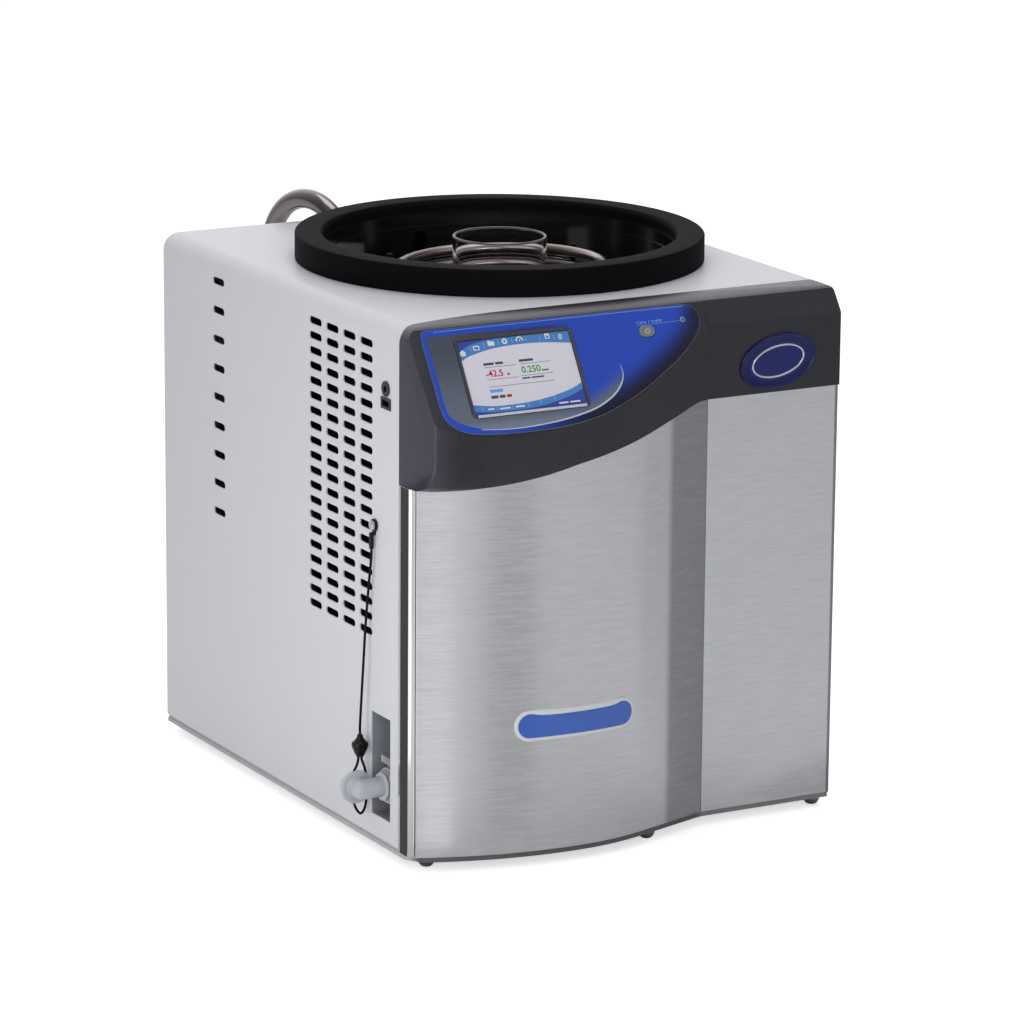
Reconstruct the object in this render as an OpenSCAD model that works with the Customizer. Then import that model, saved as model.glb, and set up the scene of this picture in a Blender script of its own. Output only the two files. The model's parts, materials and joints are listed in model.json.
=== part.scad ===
// Benchtop freeze dryer: a cabinet with a bowed stainless front, a sloped
// control pod, and an open collector chamber under a thick black gasket.
// Millimetres, Z up. The modules measure X from the left side's outer face,
// Y from the flat front panel's face and Z from the bench; place() then puts
// the origin under the middle of the part's box.

/* [Cabinet] */
// Width over the side panels
body_w = 401; // [395:1:490]
// Depth from the flat front panel to the rear panel
body_d = 464; // [455:1:560]
// Height of the roof above the bench
body_h = 448; // [430:1:540]
// Thickness of the sheet metal
sheet_t = 1.2; // [0.8:0.1:2]
// Height of the panels' lower edge above the bench
foot_h = 12; // [8:1:20]
// Distance of the side panels' front edge behind the flat front
side_front = 20; // [16:1:30]
// Distance of the roof's front edge behind the flat front
roof_front = 40; // [30:1:50]
// Outer radius of the bend between roof and left side
bend_r = 14; // [6:1:20]
// Outer radius of the bend between roof and right side
bend_right = 5; // [3:0.5:6]

/* [Bowed front] */
// Place of the bow's foremost point, from the left side
bow_x = 142; // [120:1:160]
// How far the bow stands in front of the flat panel
bow_depth = 33; // [20:1:45]
// Radius of the bow's left stretch
bow_r = 325; // [280:5:400]
// Radius of the bow's right stretch
bow_r2 = 200; // [150:5:240]
// Place where the bow has run back to the flat panel
step_x = 275; // [260:1:290]
// Radius of the corner post
post_r = 6.5; // [4:0.5:9]

/* [Side slots] */
// Length of one slot
slot_l = 22.5; // [12:0.5:26]
// Height of one slot
slot_h = 6.3; // [3:0.1:8]
// Distance between slot columns
slot_dy = 30.4; // [28:0.1:40]
// Distance between slot rows
slot_dz = 12.6; // [10:0.1:16]
// Number of columns in the main grid
slot_cols = 4; // [2:1:5]
// Number of rows in the main grid
slot_rows = 20; // [6:1:21]
// Centre of the grid's front column behind the flat front
slot_y = 77.2; // [70:0.1:100]
// Distance of the top row below the roof
slot_drop = 22.8; // [18:0.1:40]
// Centre of the single rear column behind the flat front
rear_slot_y = 352.5; // [320:0.5:400]

/* [Control pod] */
// Height of the pod's lower edge at the left
pod_low = 319.5; // [300:0.5:340]
// Height of the fascia's lower edge at the flat side
pod_high = 366; // [350:0.5:390]
// Rise over run of the sloped control face
slope = 1.6; // [1.2:0.05:2.2]
// Distance of the slope's upper ridge behind the flat front
ridge_y = 10; // [6:0.5:16]
// Drop of the ridge below the roof
ridge_drop = 2; // [1:0.5:4]
// How far the pod's left end stands out past the bow
pod_bulge = 27; // [15:1:32]
// Overhang of the pod in front of the bowed panel
pod_lip = 3; // [1.5:0.5:6]
// Wall of the moulding
pod_wall = 3; // [2:0.5:5]
// Height of the crease on the flat side's fascia
crease_h = 427.5; // [420:0.5:436]

/* [Controls] */
// Width of the display bezel
bezel_w = 107.5; // [90:0.5:115]
// Height of the display bezel along the slope
bezel_h = 68.5; // [55:0.5:72]
// Width of the bezel's rim
bezel_rim = 2.6; // [1.5:0.1:4]
// Centre of the bezel from the left side
bezel_x = 93; // [85:0.5:100]
// Centre of the bezel down the slope from the ridge
bezel_v = 44.5; // [40:0.5:50]
// Width of the oval button
button_w = 14.6; // [10:0.2:20]
// Height of the oval button
button_h = 9.8; // [7:0.2:12]
// Centre of the button from the left side
button_x = 214.8; // [200:0.2:225]
// Centre of the button down the slope from the ridge
button_v = 21; // [16:0.2:26]
// Travel of the button
button_travel = 1.2; // [0.5:0.1:2]
// Diameter of the status light
led_d = 4; // [2:0.5:6]
// Centre of the status light from the left side
led_x = 250.6; // [244:0.2:254]
// Centre of the status light down the slope
led_v = 14.2; // [10:0.2:18]

/* [Badge and plate] */
// Length of the oval badge
badge_w = 73; // [50:1:90]
// Height of the oval badge
badge_h = 45; // [30:1:50]
// Tilt of the badge in degrees
badge_tilt = 9.7; // [0:0.1:15]
// Length of the name plate
plate_w = 112; // [80:1:130]
// Height of the name plate
plate_h = 26; // [16:1:40]
// Height of the name plate's centre
plate_z = 119; // [90:1:160]
// Centre of the name plate from the left side
plate_x = 137; // [120:1:160]

/* [Collector] */
// Centre of the collector from the left side
col_x = 210.4; // [195:0.2:260]
// Centre of the collector behind the flat front
col_y = 239.6; // [220:0.2:300]
// Outer radius of the gasket
gasket_r = 174; // [160:1:180]
// Inner radius of the gasket
gasket_ri = 149.5; // [120:0.5:152]
// Height of the gasket
gasket_h = 23; // [12:1:30]
// Depth of the chamber below the roof
drum_depth = 198; // [140:1:240]
// Wall of the chamber
drum_t = 1.6; // [1:0.1:3]
// Thickness of the foam jacket
foam_t = 18; // [8:1:20]
// Radius of the coil's centre line
coil_r = 88; // [70:1:100]
// Diameter of the coil's tube
coil_d = 9.5; // [6:0.5:12]
// Rise of the coil in one turn
coil_pitch = 11.5; // [10.5:0.1:16]
// Number of turns of the coil
coil_turns = 12; // [4:1:14]
// Outer radius of the baffle tube
baffle_r = 40; // [30:1:50]
// Wall of the baffle tube
baffle_t = 2.5; // [1.5:0.5:4]
// Drop of the baffle's rim below the gasket's top
baffle_drop = 4; // [2:1:12]

/* [Vacuum tube] */
// Outside diameter of the bent tube
tube_d = 17.4; // [12:0.1:20]
// Wall of the bent tube
tube_t = 1.5; // [1:0.1:2.5]
// Radius of the bend
tube_bend = 50; // [40:1:60]
// Place where the tube leaves the roof, from the left side
tube_x = 147.45; // [140:0.05:160]
// Distance of that place in front of the rear face
tube_in = 48; // [44:0.5:56]
// Distance of the bend's centre below the roof
tube_down = 29.5; // [20:0.5:36]
// Direction of the bend, in degrees from the X axis
tube_turn = 105; // [90:1:110]
// Length of the straight end behind the cabinet
tube_end = 46; // [30:1:80]

/* [Drain] */
// Front edge of the pocket behind the flat front
pocket_y = 33.7; // [30:0.1:40]
// Length of the pocket along the side
pocket_l = 33.8; // [30:0.1:38]
// Lower edge of the pocket above the bench
pocket_z = 32.7; // [26:0.1:40]
// Height of the pocket
pocket_h = 86.9; // [80:0.1:110]
// Depth of the pocket
pocket_in = 30; // [26:1:40]
// Height of the coupling's axis
drain_z = 59; // [56:0.5:64]
// Distance of the elbow's corner outside the side panel
elbow_out = 17.7; // [17:0.1:24]
// Outside diameter of the elbow
elbow_d = 17; // [12:0.5:18]
// Diameter of the elbow's flange
flange_d = 28; // [22:0.5:30]
// Travel of the thumb latch
latch_travel = 2; // [1:0.5:3]

/* [Hidden] */
$fn = 64;
eps = 0.01;
gap = 0.3;
run_gap = 0.4;

// Bow: the left arc, the right arc and the straight run back to the flat panel
run_len = norm([bow_r2 - bow_depth, step_x - bow_x]);
run_a = atan2(step_x - bow_x, bow_r2 - bow_depth) - acos(bow_r2 / run_len);
run_x = bow_x + bow_r2 * sin(run_a);
run_y = -bow_depth + bow_r2 * (1 - cos(run_a));
bow_left = 2 * post_r;
// below the pod the bow's left edge laps in front of the post
lap_left = post_r - 2;

// Front of the bow at x, moved forward by off
function bow_at(x, off) =
    x < bow_x
    ? bow_r - bow_depth - sqrt((bow_r + off) * (bow_r + off) - (x - bow_x) * (x - bow_x))
    : x < run_x + off * sin(run_a)
    ? bow_r2 - bow_depth - sqrt((bow_r2 + off) * (bow_r2 + off) - (x - bow_x) * (x - bow_x))
    : run_y + (x - run_x) * tan(run_a) - off / cos(run_a);

// Pod: it stands out most at the left end and fades into the bow's own line
flat_lip = 2;
bulge_end = 135;
bulge_min = 0.5;
function bulge_at(x) = max(bulge_min, pod_bulge * (bulge_end - x) / (bulge_end - 5));
function lip_at(x) =
    x < run_x ? pod_lip : pod_lip + (flat_lip - 0.4 - pod_lip) * (x - run_x) / (pod_split - run_x);
function pod_front(x, fill) = bow_at(x, lip_at(x)) - fill * bulge_at(x);
function skirt_z(x) =
    x < pod_end ? pod_low + (pod_high - pod_low) * pow(max(x, 0) / pod_end, 1.75) : pod_high;
pod_end = step_x - 13;
pod_split = step_x - 2;
under_h = 26;
ridge_z = body_h - ridge_drop;
slope_a = atan(slope);
slope_k = norm([1, slope]);
overlay_t = 0.8;
bow_top = min(pod_low + 43, ridge_z - pod_wall * slope_k - slope * (ridge_y + bow_depth) - 4);

// Front edge of the roof: it starts at the side panel's edge and curves back
edge_run = 130;
function roof_edge(x) =
    x < edge_run ? roof_front - (roof_front - side_front) * pow(1 - max(x, 0) / edge_run, 2.4) : roof_front;

// Collector and its neighbours
drum_ri = gasket_ri - 2.5;
drum_ro = drum_ri + drum_t;
drum_z = body_h - drum_depth;
rim_t = 1.5;
rim_w = 7;
coil_top = body_h - 1.5;
coil_low = coil_top - coil_turns * coil_pitch;
foam_z = drum_z - foam_t;
foam_top = body_h - 26;
gasket_top = body_h + gasket_h;
port_z = body_h - 11.5;
port_r = 9.5;

drain_hole = [-84, -84];
drain_stub_r = 6;
stub_l = 24;

// Panels and feet
cover_low = foot_h + 2.5;
panel_lap = 14;
foot_r = 7;
stud_d = 6;
stud_h = 14;
FEET = [
    [21, 10], [219, -6], [body_w - 9, 13], [24, body_d - 24], [body_w - 24, body_d - 24]
];

// Controls: the parts behind the sloped face lie in layers under it
glass_lift = -0.6;
glass_t = 1.2;
module_t = 6;
spacer_l = 3.6;
board_t = 1.6;
board_lift = glass_lift - module_t - spacer_l;
button_face = 2.2;
flange_low = -pod_wall - 1.4;
badge_x = (step_x + body_w) / 2 + 2;
badge_z = (pod_high + crease_h) / 2 - 4.5;

// Sockets
jack_y = 42;
jack_z = body_h - 54.5;
jack_r = 4.2;
data_z = jack_z - 12;
data_w = 13.6;
data_h = 7;
inlet_x = body_w - 71;
inlet_z = 80;
inlet_w = 31;
inlet_h = 25;

// Vacuum tube: a half circle of tube and one straight end on each side
bend_z = body_h - tube_down;
tube_shift = tube_bend * (1 - sqrt(1 - pow(tube_down / tube_bend, 2)));
tube_dir = [cos(tube_turn), sin(tube_turn)];
leg_front = [tube_x, body_d - tube_in] - tube_shift * tube_dir;
bend_at = leg_front + tube_bend * tube_dir;
leg_back = leg_front + 2 * tube_bend * tube_dir;
leg_in = 18;
hose_d = 2 * port_r;

// Drain
drain_y = pocket_y + pocket_l / 2;
flange_r = flange_d / 2;
coupling_r = 15;
plug_r = 8.2;
latch_w = 11;
latch_t = 3;
latch_tab = 8;

// Lanyard
cord_d = 2.2;
screw_y = 61;
screw_z = 277;
screw_r = 2;
bead_y = 70;
bead_x = -9;
bead_top = 100;
bead_low = 81;
CORD = [
    [-3.4, 61, 258], [-3.4, 61, 252], [-4, 62, 240], [-5, 64.5, 215], [-6, 66.5, 190],
    [-7, 68, 160], [-8, 69.5, 130], [-9, 70, 108], [-9, 70, 100]
];
LOOP = [
    [-7.4, 70, 81], [-7.4, 70, 78], [-4.5, 70.2, 70], [-2.6, 70.4, 60], [-2.6, 70.4, 46],
    [-4.5, 70.4, 36], [-8, 70.4, 32], [-12, 70.4, 36], [-16, 70.4, 46], [-19, 70.4, 51.6],
    [-23, 70.4, 53.6], [-25.2, 70.4, 58], [-24.4, 70.4, 62.6], [-20.6, 70.4, 65.8],
    [-16.4, 70.4, 67], [-12.6, 70.2, 72], [-10.7, 70, 78], [-10.7, 70, 81]
];

// Inside the cabinet
pan_t = 1.5;
pan_z = foot_h - 4;
floor_z = pan_z + pan_t;
fan_y = 130;
fan_z = 166;
fan_r = 52;
fan_gap = 2;
condenser_x = [8, 46];
condenser_y = [74, 186];
condenser_z = [96, body_h - 48];
line_x = (condenser_x[0] + condenser_x[1]) / 2 - 3;
shroud_x = condenser_x[1] + gap;
shroud_t = 1.5;
fan_x = shroud_x + shroud_t + 8;
shaft_r = 3;
motor_x = fan_x + 16;
motor_l = 40;
motor_r = 24;
comp_x = col_x + 74.6;
comp_y = col_y + 100.4;
comp_r = 66;
comp_z = floor_z + 12;
comp_h = 168;
drier_x = 180;
drier_y = body_d - 64;
drier_z = 60;
drier_l = 96;

// Box of the part without its cord, for the origin
x_low = -elbow_out - flange_r;
x_high = body_w;
y_low = min([for (x = [10:1:200]) pod_front(x, 1)]);
y_high = leg_back[1] + tube_d / 2;

module place() {
    translate([-(x_low + x_high) / 2, -(y_low + y_high) / 2, 0])
        children();
}

// ---- shared shapes ----

// Rounded rectangle centred on the origin
module round_rect(w, h, r) {
    square([w - 2 * r, h], center = true);
    square([w, h - 2 * r], center = true);
    for (x = [-1, 1], y = [-1, 1])
        translate([x * (w / 2 - r), y * (h / 2 - r)])
            circle(r);
}

// Slot with round ends, long along X, centred on the origin
module slot_2d(l, h) {
    square([l - h, h], center = true);
    for (x = [-1, 1])
        translate([x * (l - h) / 2, 0])
            circle(h / 2, $fn = 32);
}

// Oval as a polygon of n points
function oval(w, h, n) = [for (i = [0:n - 1]) [w / 2 * cos(i * 360 / n), h / 2 * sin(i * 360 / n)]];

// Draws in the plane of a side panel: 2-D x is the part's Y, 2-D y is its Z,
// and the extrusion runs along +X from x0
module on_side(x0, t) {
    translate([x0, 0, 0])
        rotate([90, 0, 90])
            linear_extrude(t)
                children();
}

// Draws in the front view: 2-D x is the part's X, 2-D y is its Z, from y0 to y0 + t
module on_front(y0, t) {
    translate([0, y0 + t, 0])
        rotate([90, 0, 0])
            linear_extrude(t)
                children();
}

// Puts children on the sloped face: x along the part's X, y up the slope from
// the ridge, z out of the face
module on_slope(lift = 0) {
    translate([0, ridge_y, ridge_z])
        rotate([slope_a, 0, 0])
            translate([0, 0, lift])
                children();
}

// Ring between two radii
module ring(r1, r2, h) {
    difference() {
        cylinder(r = r2, h = h, $fn = 96);
        translate([0, 0, -1])
            cylinder(r = r1, h = h + 2, $fn = 96);
    }
}

// Points of a path, thinned in by straight steps no longer than step
function fill_path(p, step) = [
    for (i = [0:len(p) - 2])
        let (n = max(1, ceil(norm(p[i + 1] - p[i]) / step)))
            for (k = [0:n - 1]) p[i] + (p[i + 1] - p[i]) * k / n,
    p[len(p) - 1]
];

// Path rounded by averaging each inner point with its neighbours
function soften(p) = [
    for (i = [0:len(p) - 1])
        i < 2 || i > len(p) - 3 ? p[i] : (p[i - 1] + 2 * p[i] + p[i + 1]) / 4
];

function unit(v) = v / norm(v);
function along(p, i) =
    i == 0 ? unit(p[1] - p[0])
    : i == len(p) - 1 ? unit(p[i] - p[i - 1])
    : unit(unit(p[i + 1] - p[i]) + unit(p[i] - p[i - 1]));
function side_of(t, s) = unit(s - t * (s * t));
// Side directions carried along the path without twist
function carry(p, i = 0, s = [0, 0, 0], out = []) =
    i == len(p) ? out
    : let (
        t = along(p, i),
        s0 = i == 0 ? (abs(t[1]) < 0.8 ? [0, 1, 0] : [1, 0, 0]) : s,
        n = side_of(t, s0)
    ) carry(p, i + 1, n, concat(out, [n]));

// Tube of diameter d and n sides swept along the points p
module sweep(p, d, n) {
    sides = carry(p);
    points = [
        for (i = [0:len(p) - 1])
            let (t = along(p, i), u = sides[i], v = cross(t, u))
                for (k = [0:n - 1])
                    p[i] + d / 2 * (cos(k * 360 / n) * u + sin(k * 360 / n) * v)
    ];
    walls = [
        for (i = [0:len(p) - 2], k = [0:n - 1])
            let (a = i * n + k, b = i * n + (k + 1) % n)
                [a, a + n, b + n, b]
    ];
    caps = [
        [for (k = [0:n - 1]) k],
        [for (k = [n - 1:-1:0]) (len(p) - 1) * n + k]
    ];
    polyhedron(points, concat(walls, caps), convexity = 6);
}

// ---- cabinet ----

// Plan band of the bowed front between two forward offsets
module bow_band(off_in, off_out, left = bow_left) {
    far = 60;
    difference() {
        union() {
            intersection() {
                translate([bow_x, bow_r - bow_depth])
                    difference() {
                        circle(bow_r + off_out, $fn = 240);
                        circle(bow_r + off_in, $fn = 240);
                    }
                translate([0, -far])
                    square([bow_x, far + 20]);
            }
            intersection() {
                translate([bow_x, bow_r2 - bow_depth])
                    difference() {
                        circle(bow_r2 + off_out, $fn = 240);
                        circle(bow_r2 + off_in, $fn = 240);
                    }
                translate([bow_x, bow_r2 - bow_depth])
                    polygon([[0, 0], [0, -2 * bow_r2], [2 * bow_r2 * tan(run_a), -2 * bow_r2]]);
            }
            translate([run_x, run_y])
                rotate(run_a)
                    translate([0, -off_out])
                        square([(step_x - run_x) / cos(run_a) + 2, off_out - off_in]);
        }
        translate([step_x, -far])
            square([far, 2 * far]);
        translate([-far, -far])
            square([far + left, 2 * far]);
    }
}

// Floor plan of the base: the bow in front, straight sides and back
module base_plan(inset) {
    polygon(concat(
        [[inset, body_d - inset], [inset, side_front / 2], [post_r, inset]],
        [for (x = [bow_left:6:step_x]) [x, bow_at(x, -inset)]],
        [[step_x + 2, inset], [body_w - inset, inset], [body_w - inset, body_d - inset]]
    ));
}

// Tray under the machine: a full floor with a low hem, and a rim inside the panels
module base_pan() {
    hem = 0.8;
    rim = sheet_t + gap;
    rim_h = 22;
    color("dimgray")
        difference() {
            union() {
                translate([0, 0, pan_z])
                    linear_extrude(foot_h - gap - pan_z)
                        base_plan(hem);
                translate([rim, side_front, pan_z])
                    cube([body_w - 2 * rim, body_d - side_front - rim, rim_h]);
            }
            translate([0, 0, floor_z])
                linear_extrude(rim_h)
                    base_plan(hem + pan_t);
            translate([rim + pan_t, side_front + pan_t, floor_z])
                cube([body_w - 2 * rim - 2 * pan_t, body_d - side_front - rim - 2 * pan_t, rim_h]);
            for (f = FEET)
                translate([f[0], f[1], pan_z - 1])
                    cylinder(d = stud_d + gap, h = pan_t + 2, $fn = 32);
            // louvres under the compressor
            for (i = [0:5])
                translate([comp_x - 60 + i * 24, comp_y - 110, pan_z - 1])
                    linear_extrude(pan_t + 2)
                        rotate(90)
                            slot_2d(60, 5);
            screw_holes();
        }
}

// Dome foot with a flat sole
module foot(i) {
    r = foot_r;
    color("black")
        translate([FEET[i][0], FEET[i][1], 0])
            difference() {
                intersection() {
                    cylinder(r = r, h = pan_z, $fn = 48);
                    translate([0, 0, r - 1])
                        sphere(r, $fn = 48);
                }
                translate([0, 0, 2])
                    cylinder(d = stud_d + gap, h = pan_z, $fn = 32);
            }
}

// Threaded studs that hold the feet, each with its nut inside the pan
module foot_studs() {
    color("silver")
        for (f = FEET)
            translate([f[0], f[1], 0]) {
                translate([0, 0, 2])
                    cylinder(d = stud_d, h = stud_h, $fn = 32);
                translate([0, 0, floor_z])
                    cylinder(d = 10.5, h = 4, $fn = 6);
            }
}

// Main grid and rear column of slots on a side
module side_slots() {
    for (c = [0:slot_cols - 1], r = [0:slot_rows - 1])
        translate([slot_y + c * slot_dy, body_h - slot_drop - r * slot_dz])
            slot_2d(slot_l, slot_h);
    for (r = [0:2:16])
        translate([rear_slot_y, body_h - slot_drop - r * slot_dz])
            slot_2d(slot_l, slot_h);
}

// Front view of the cabinet above low: both upper corners rounded
module face_2d(inset, low) {
    top = body_h - low;
    translate([inset, low])
        square([body_w - 2 * inset, top - bend_r]);
    translate([bend_r, low])
        square([body_w - bend_r - bend_right, top - inset]);
    translate([bend_r, low])
        square([body_w - bend_r - inset, top - bend_right]);
    translate([bend_r, body_h - bend_r])
        circle(bend_r - inset);
    translate([body_w - bend_right, body_h - bend_right])
        circle(bend_right - inset);
}

module cabinet_cover() {
    color("gainsboro")
        difference() {
            on_front(side_front, body_d - sheet_t - side_front)
                difference() {
                    face_2d(0, cover_low);
                    face_2d(sheet_t, cover_low - 1);
                }
            // the roof starts further back than the sides
            translate([0, 0, body_h - bend_r])
                linear_extrude(bend_r + 1)
                    polygon(concat(
                        [[-1, 0], [-1, side_front]],
                        [for (x = [0:10:edge_run]) [x, roof_edge(x)]],
                        [[body_w + 1, roof_front], [body_w + 1, 0]]
                    ));
            translate([col_x, col_y, body_h - sheet_t - 1])
                cylinder(r = drum_ro + gap, h = sheet_t + 2, $fn = 96);
            translate([leg_front[0], leg_front[1], bend_z])
                tube_hole();
            on_side(-1, sheet_t + 2) {
                side_slots();
                translate([pocket_y, pocket_z])
                    square([pocket_l, pocket_h]);
                translate([jack_y, jack_z])
                    circle(jack_r + gap);
                translate([jack_y, data_z])
                    square([data_w + 2 * gap, data_h + 2 * gap], center = true);
                translate([screw_y, screw_z])
                    circle(screw_r + gap, $fn = 32);
            }
            on_side(body_w - sheet_t - 1, sheet_t + 2)
                side_slots();
        }
}

// Clearance where the bent tube leaves the roof
module tube_hole() {
    rotate([0, 0, tube_turn])
        translate([tube_shift, 0, tube_down - 8])
            cylinder(r = tube_d / 2 + 4, h = 20);
}

module rear_panel() {
    color("gainsboro")
        difference() {
            on_front(body_d - sheet_t + eps, sheet_t - eps)
                difference() {
                    face_2d(0.5, cover_low);
                    translate([inlet_x, inlet_z])
                        square([inlet_w + 2 * gap, inlet_h + 2 * gap], center = true);
                    for (r = [0:9])
                        translate([body_w - 90, 150 + r * slot_dz])
                            slot_2d(70, slot_h);
                }
            screw_holes();
        }
}

// Rounded stainless post between the side panel and the bow
module corner_post() {
    color("silver")
        translate([0, 0, foot_h])
            linear_extrude(pod_low - gap - foot_h)
                difference() {
                    union() {
                        translate([post_r, post_r])
                            circle(post_r);
                        translate([0, post_r])
                            square([post_r, side_front - post_r - gap]);
                    }
                    translate([post_r, post_r])
                        circle(post_r - sheet_t);
                    translate([sheet_t, post_r])
                        square([post_r, side_front]);
                }
}

module front_panel_bow() {
    color("silver")
        union() {
            intersection() {
                translate([0, 0, foot_h])
                    linear_extrude(body_h)
                        bow_band(-sheet_t, 0);
                on_front(-100, 200)
                    polygon([
                        [0, 0], [0, pod_low + 24], [bow_x, bow_top],
                        [step_x, pod_high + panel_lap], [step_x, 0]
                    ]);
            }
            // lap in front of the post, below the pod
            translate([0, 0, foot_h])
                linear_extrude(pod_low - 2 * gap - foot_h)
                    intersection() {
                        bow_band(-sheet_t, 0, lap_left);
                        translate([0, -100])
                            square([bow_left + 1, 200]);
                    }
            // hemmed left edge, folded back beside the post
            translate([bow_left, bow_at(bow_left, 0), foot_h])
                cube([sheet_t, 14, pod_low + 20 - foot_h]);
        }
}

module front_panel_flat() {
    color("silver") {
        translate([step_x + gap / 2, 0, foot_h])
            cube([body_w - step_x - gap / 2, sheet_t, pod_high + panel_lap - foot_h]);
        // return flange at the right edge
        translate([body_w - sheet_t, 0, foot_h])
            cube([sheet_t, side_front - gap, pod_high + panel_lap - foot_h]);
        // return flange behind the bow's end
        translate([step_x + gap / 2, 0, foot_h])
            cube([sheet_t, 16, pod_high + panel_lap - foot_h]);
    }
}

// ---- control pod ----

// Plan outline of the pod at one height: fill runs from 0 at the lower edge,
// where it hugs the post and bow, to 1 where it stands out fully
function pod_outline(fill, x_end) = concat(
    [[0, side_front - gap]],
    [for (k = CHEEK) pod_corner(k, fill)],
    [for (x = [2 * post_r:8:bow_x]) [x, pod_front(x, fill)]],
    [for (x = [bow_x + 8:10:x_end - 1]) [x, pod_front(x, fill)]],
    [[x_end, pod_front(x_end, fill)], [x_end, roof_front - gap]],
    [for (x = [edge_run:-10:10]) [x, roof_edge(x) - gap]],
    [[sheet_t + gap, side_front - gap]]
);
// Cheek: the post's round corner below; above it runs forward nearly flat and
// turns into the front over a rounded nose
CHEEK = [0, 0.25, 0.5, 0.6, 0.7, 0.8, 0.9, 1];
nose_reach = 3;
function pod_corner(k, fill) =
    let (
        a = 180 + 46 * k,
        low = [post_r + (post_r + 0.5) * cos(a), post_r + (post_r + 0.5) * sin(a)],
        back = [0, side_front],
        front = [2 * post_r, pod_front(2 * post_r, 1)],
        nose = [4.5, front[1] + 2],
        start = nose + nose_reach * unit(back - nose),
        end = nose + nose_reach * unit(front - nose),
        t = max(0, 2 * k - 1),
        high = k < 0.5
            ? back + (start - back) * (0.2 + 1.6 * k)
            : (1 - t) * (1 - t) * start + 2 * t * (1 - t) * nose + t * t * end
    ) low + (high - low) * fill;

// Heights of the plan outlines: the undercut is a quarter of an ellipse
UNDER = [0, 0.03, 0.1, 0.22, 0.4, 0.65, 1];
function under_fill(s) = sqrt(1 - (1 - s) * (1 - s));

module pod_body(x_end) {
    rings = concat(
        [for (s = UNDER) [pod_low - 1 + s * under_h, under_fill(s)]],
        [[body_h + 1, 1]]
    );
    n = len(pod_outline(0, x_end));
    points = [
        for (r = rings)
            for (q = pod_outline(r[1], x_end)) [q[0], q[1], r[0]]
    ];
    walls = [
        for (i = [0:len(rings) - 2], k = [0:n - 1])
            let (a = i * n + k, b = i * n + (k + 1) % n)
                for (t = [[a, a + n, b], [b, a + n, b + n]]) t
    ];
    caps = [
        [for (k = [0:n - 1]) k],
        [for (k = [n - 1:-1:0]) (len(rings) - 1) * n + k]
    ];
    polyhedron(points, concat(walls, caps), convexity = 8);
}

// Side profile above the slope's line, to cut away: from the ridge down the face
module slope_cut(y, z, rise, down) {
    polygon([
        [y, z], [y + 4, z + 1.3], [roof_front + 1, body_h], [roof_front + 1, body_h + 30],
        [-120, body_h + 30], [-120, z - rise * 120 - down], [y - 120, z - rise * 120]
    ]);
}

// Front view of the moulding between x0 and x1, with its rising lower edge
module fascia_front(x0, x1) {
    intersection() {
        polygon(concat(
            [for (x = [x0:8:x1 - 1]) [x, skirt_z(x)]],
            [[x1, skirt_z(x1)], [x1, body_h + 5], [x0, body_h + 5]]
        ));
        face_2d(0, 0);
    }
}

module control_pod() {
    color([0.2, 0.2, 0.22])
        difference() {
            intersection() {
                pod_body(pod_split);
                on_front(-100, 200)
                    fascia_front(0, pod_split);
            }
            on_side(-50, body_w + 100)
                slope_cut(ridge_y, ridge_z, slope, 0);
            pod_hollow();
            // windows for the display, the button and the status light
            on_slope(-pod_wall - 12) {
                translate([bezel_x, -bezel_v])
                    linear_extrude(pod_wall + 20)
                        round_rect(bezel_w - 2 * bezel_rim - 1, bezel_h - 2 * bezel_rim - 1, 2);
                translate([button_x, -button_v])
                    linear_extrude(pod_wall + 20)
                        slot_2d(button_w + 2 * run_gap, button_h + 2 * run_gap);
                translate([led_x, -led_v])
                    cylinder(d = led_d + 0.6, h = pod_wall + 20, $fn = 32);
            }
        }
}

// Space inside the pod: below it clears the sheet metal, above it leaves the wall
module pod_hollow() {
    split_z = pod_low + under_h + 4;
    shift = pod_wall * slope_k;
    wall_x = pod_split - pod_wall;
    difference() {
        union() {
            translate([0, 0, pod_low - 20])
                linear_extrude(split_z - pod_low + 20 + eps)
                    polygon(concat(
                        [[pod_wall, roof_front + 1], [pod_wall, post_r + 1.5]],
                        [[bow_left - gap, bow_at(bow_left, gap)]],
                        [for (x = [bow_left:7:wall_x]) [x, bow_at(x, gap)]],
                        [[wall_x, bow_at(wall_x, gap)], [wall_x, roof_front + 1]]
                    ));
            translate([0, 0, split_z])
                linear_extrude(body_h - split_z - pod_wall)
                    polygon(concat(
                        [[pod_wall, roof_front + 1], [pod_wall + 1, 0]],
                        [for (x = [pod_wall + 7:8:wall_x])
                            [x, min(pod_front(x, 1) + pod_wall + 1, bow_at(x, gap))]],
                        [[wall_x, bow_at(wall_x, gap)], [wall_x, roof_front + 1]]
                    ));
            // the right wall stops above the metal's upper edge
            translate([0, 0, pod_low - 20])
                linear_extrude(pod_high + panel_lap + gap - pod_low + 20)
                    polygon([
                        [wall_x - 1, bow_at(wall_x - 1, gap)], [pod_split + 1, bow_at(pod_split + 1, gap)],
                        [pod_split + 1, roof_front + 1], [wall_x - 1, roof_front + 1]
                    ]);
        }
        on_side(-50, body_w + 100)
            slope_cut(ridge_y, ridge_z - shift, slope, shift);
        // the left end keeps its rounded corner solid
        translate([-2, -100, body_h - bend_r])
            cube([bend_r + 1, 200, bend_r + 2]);
    }
}

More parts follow.
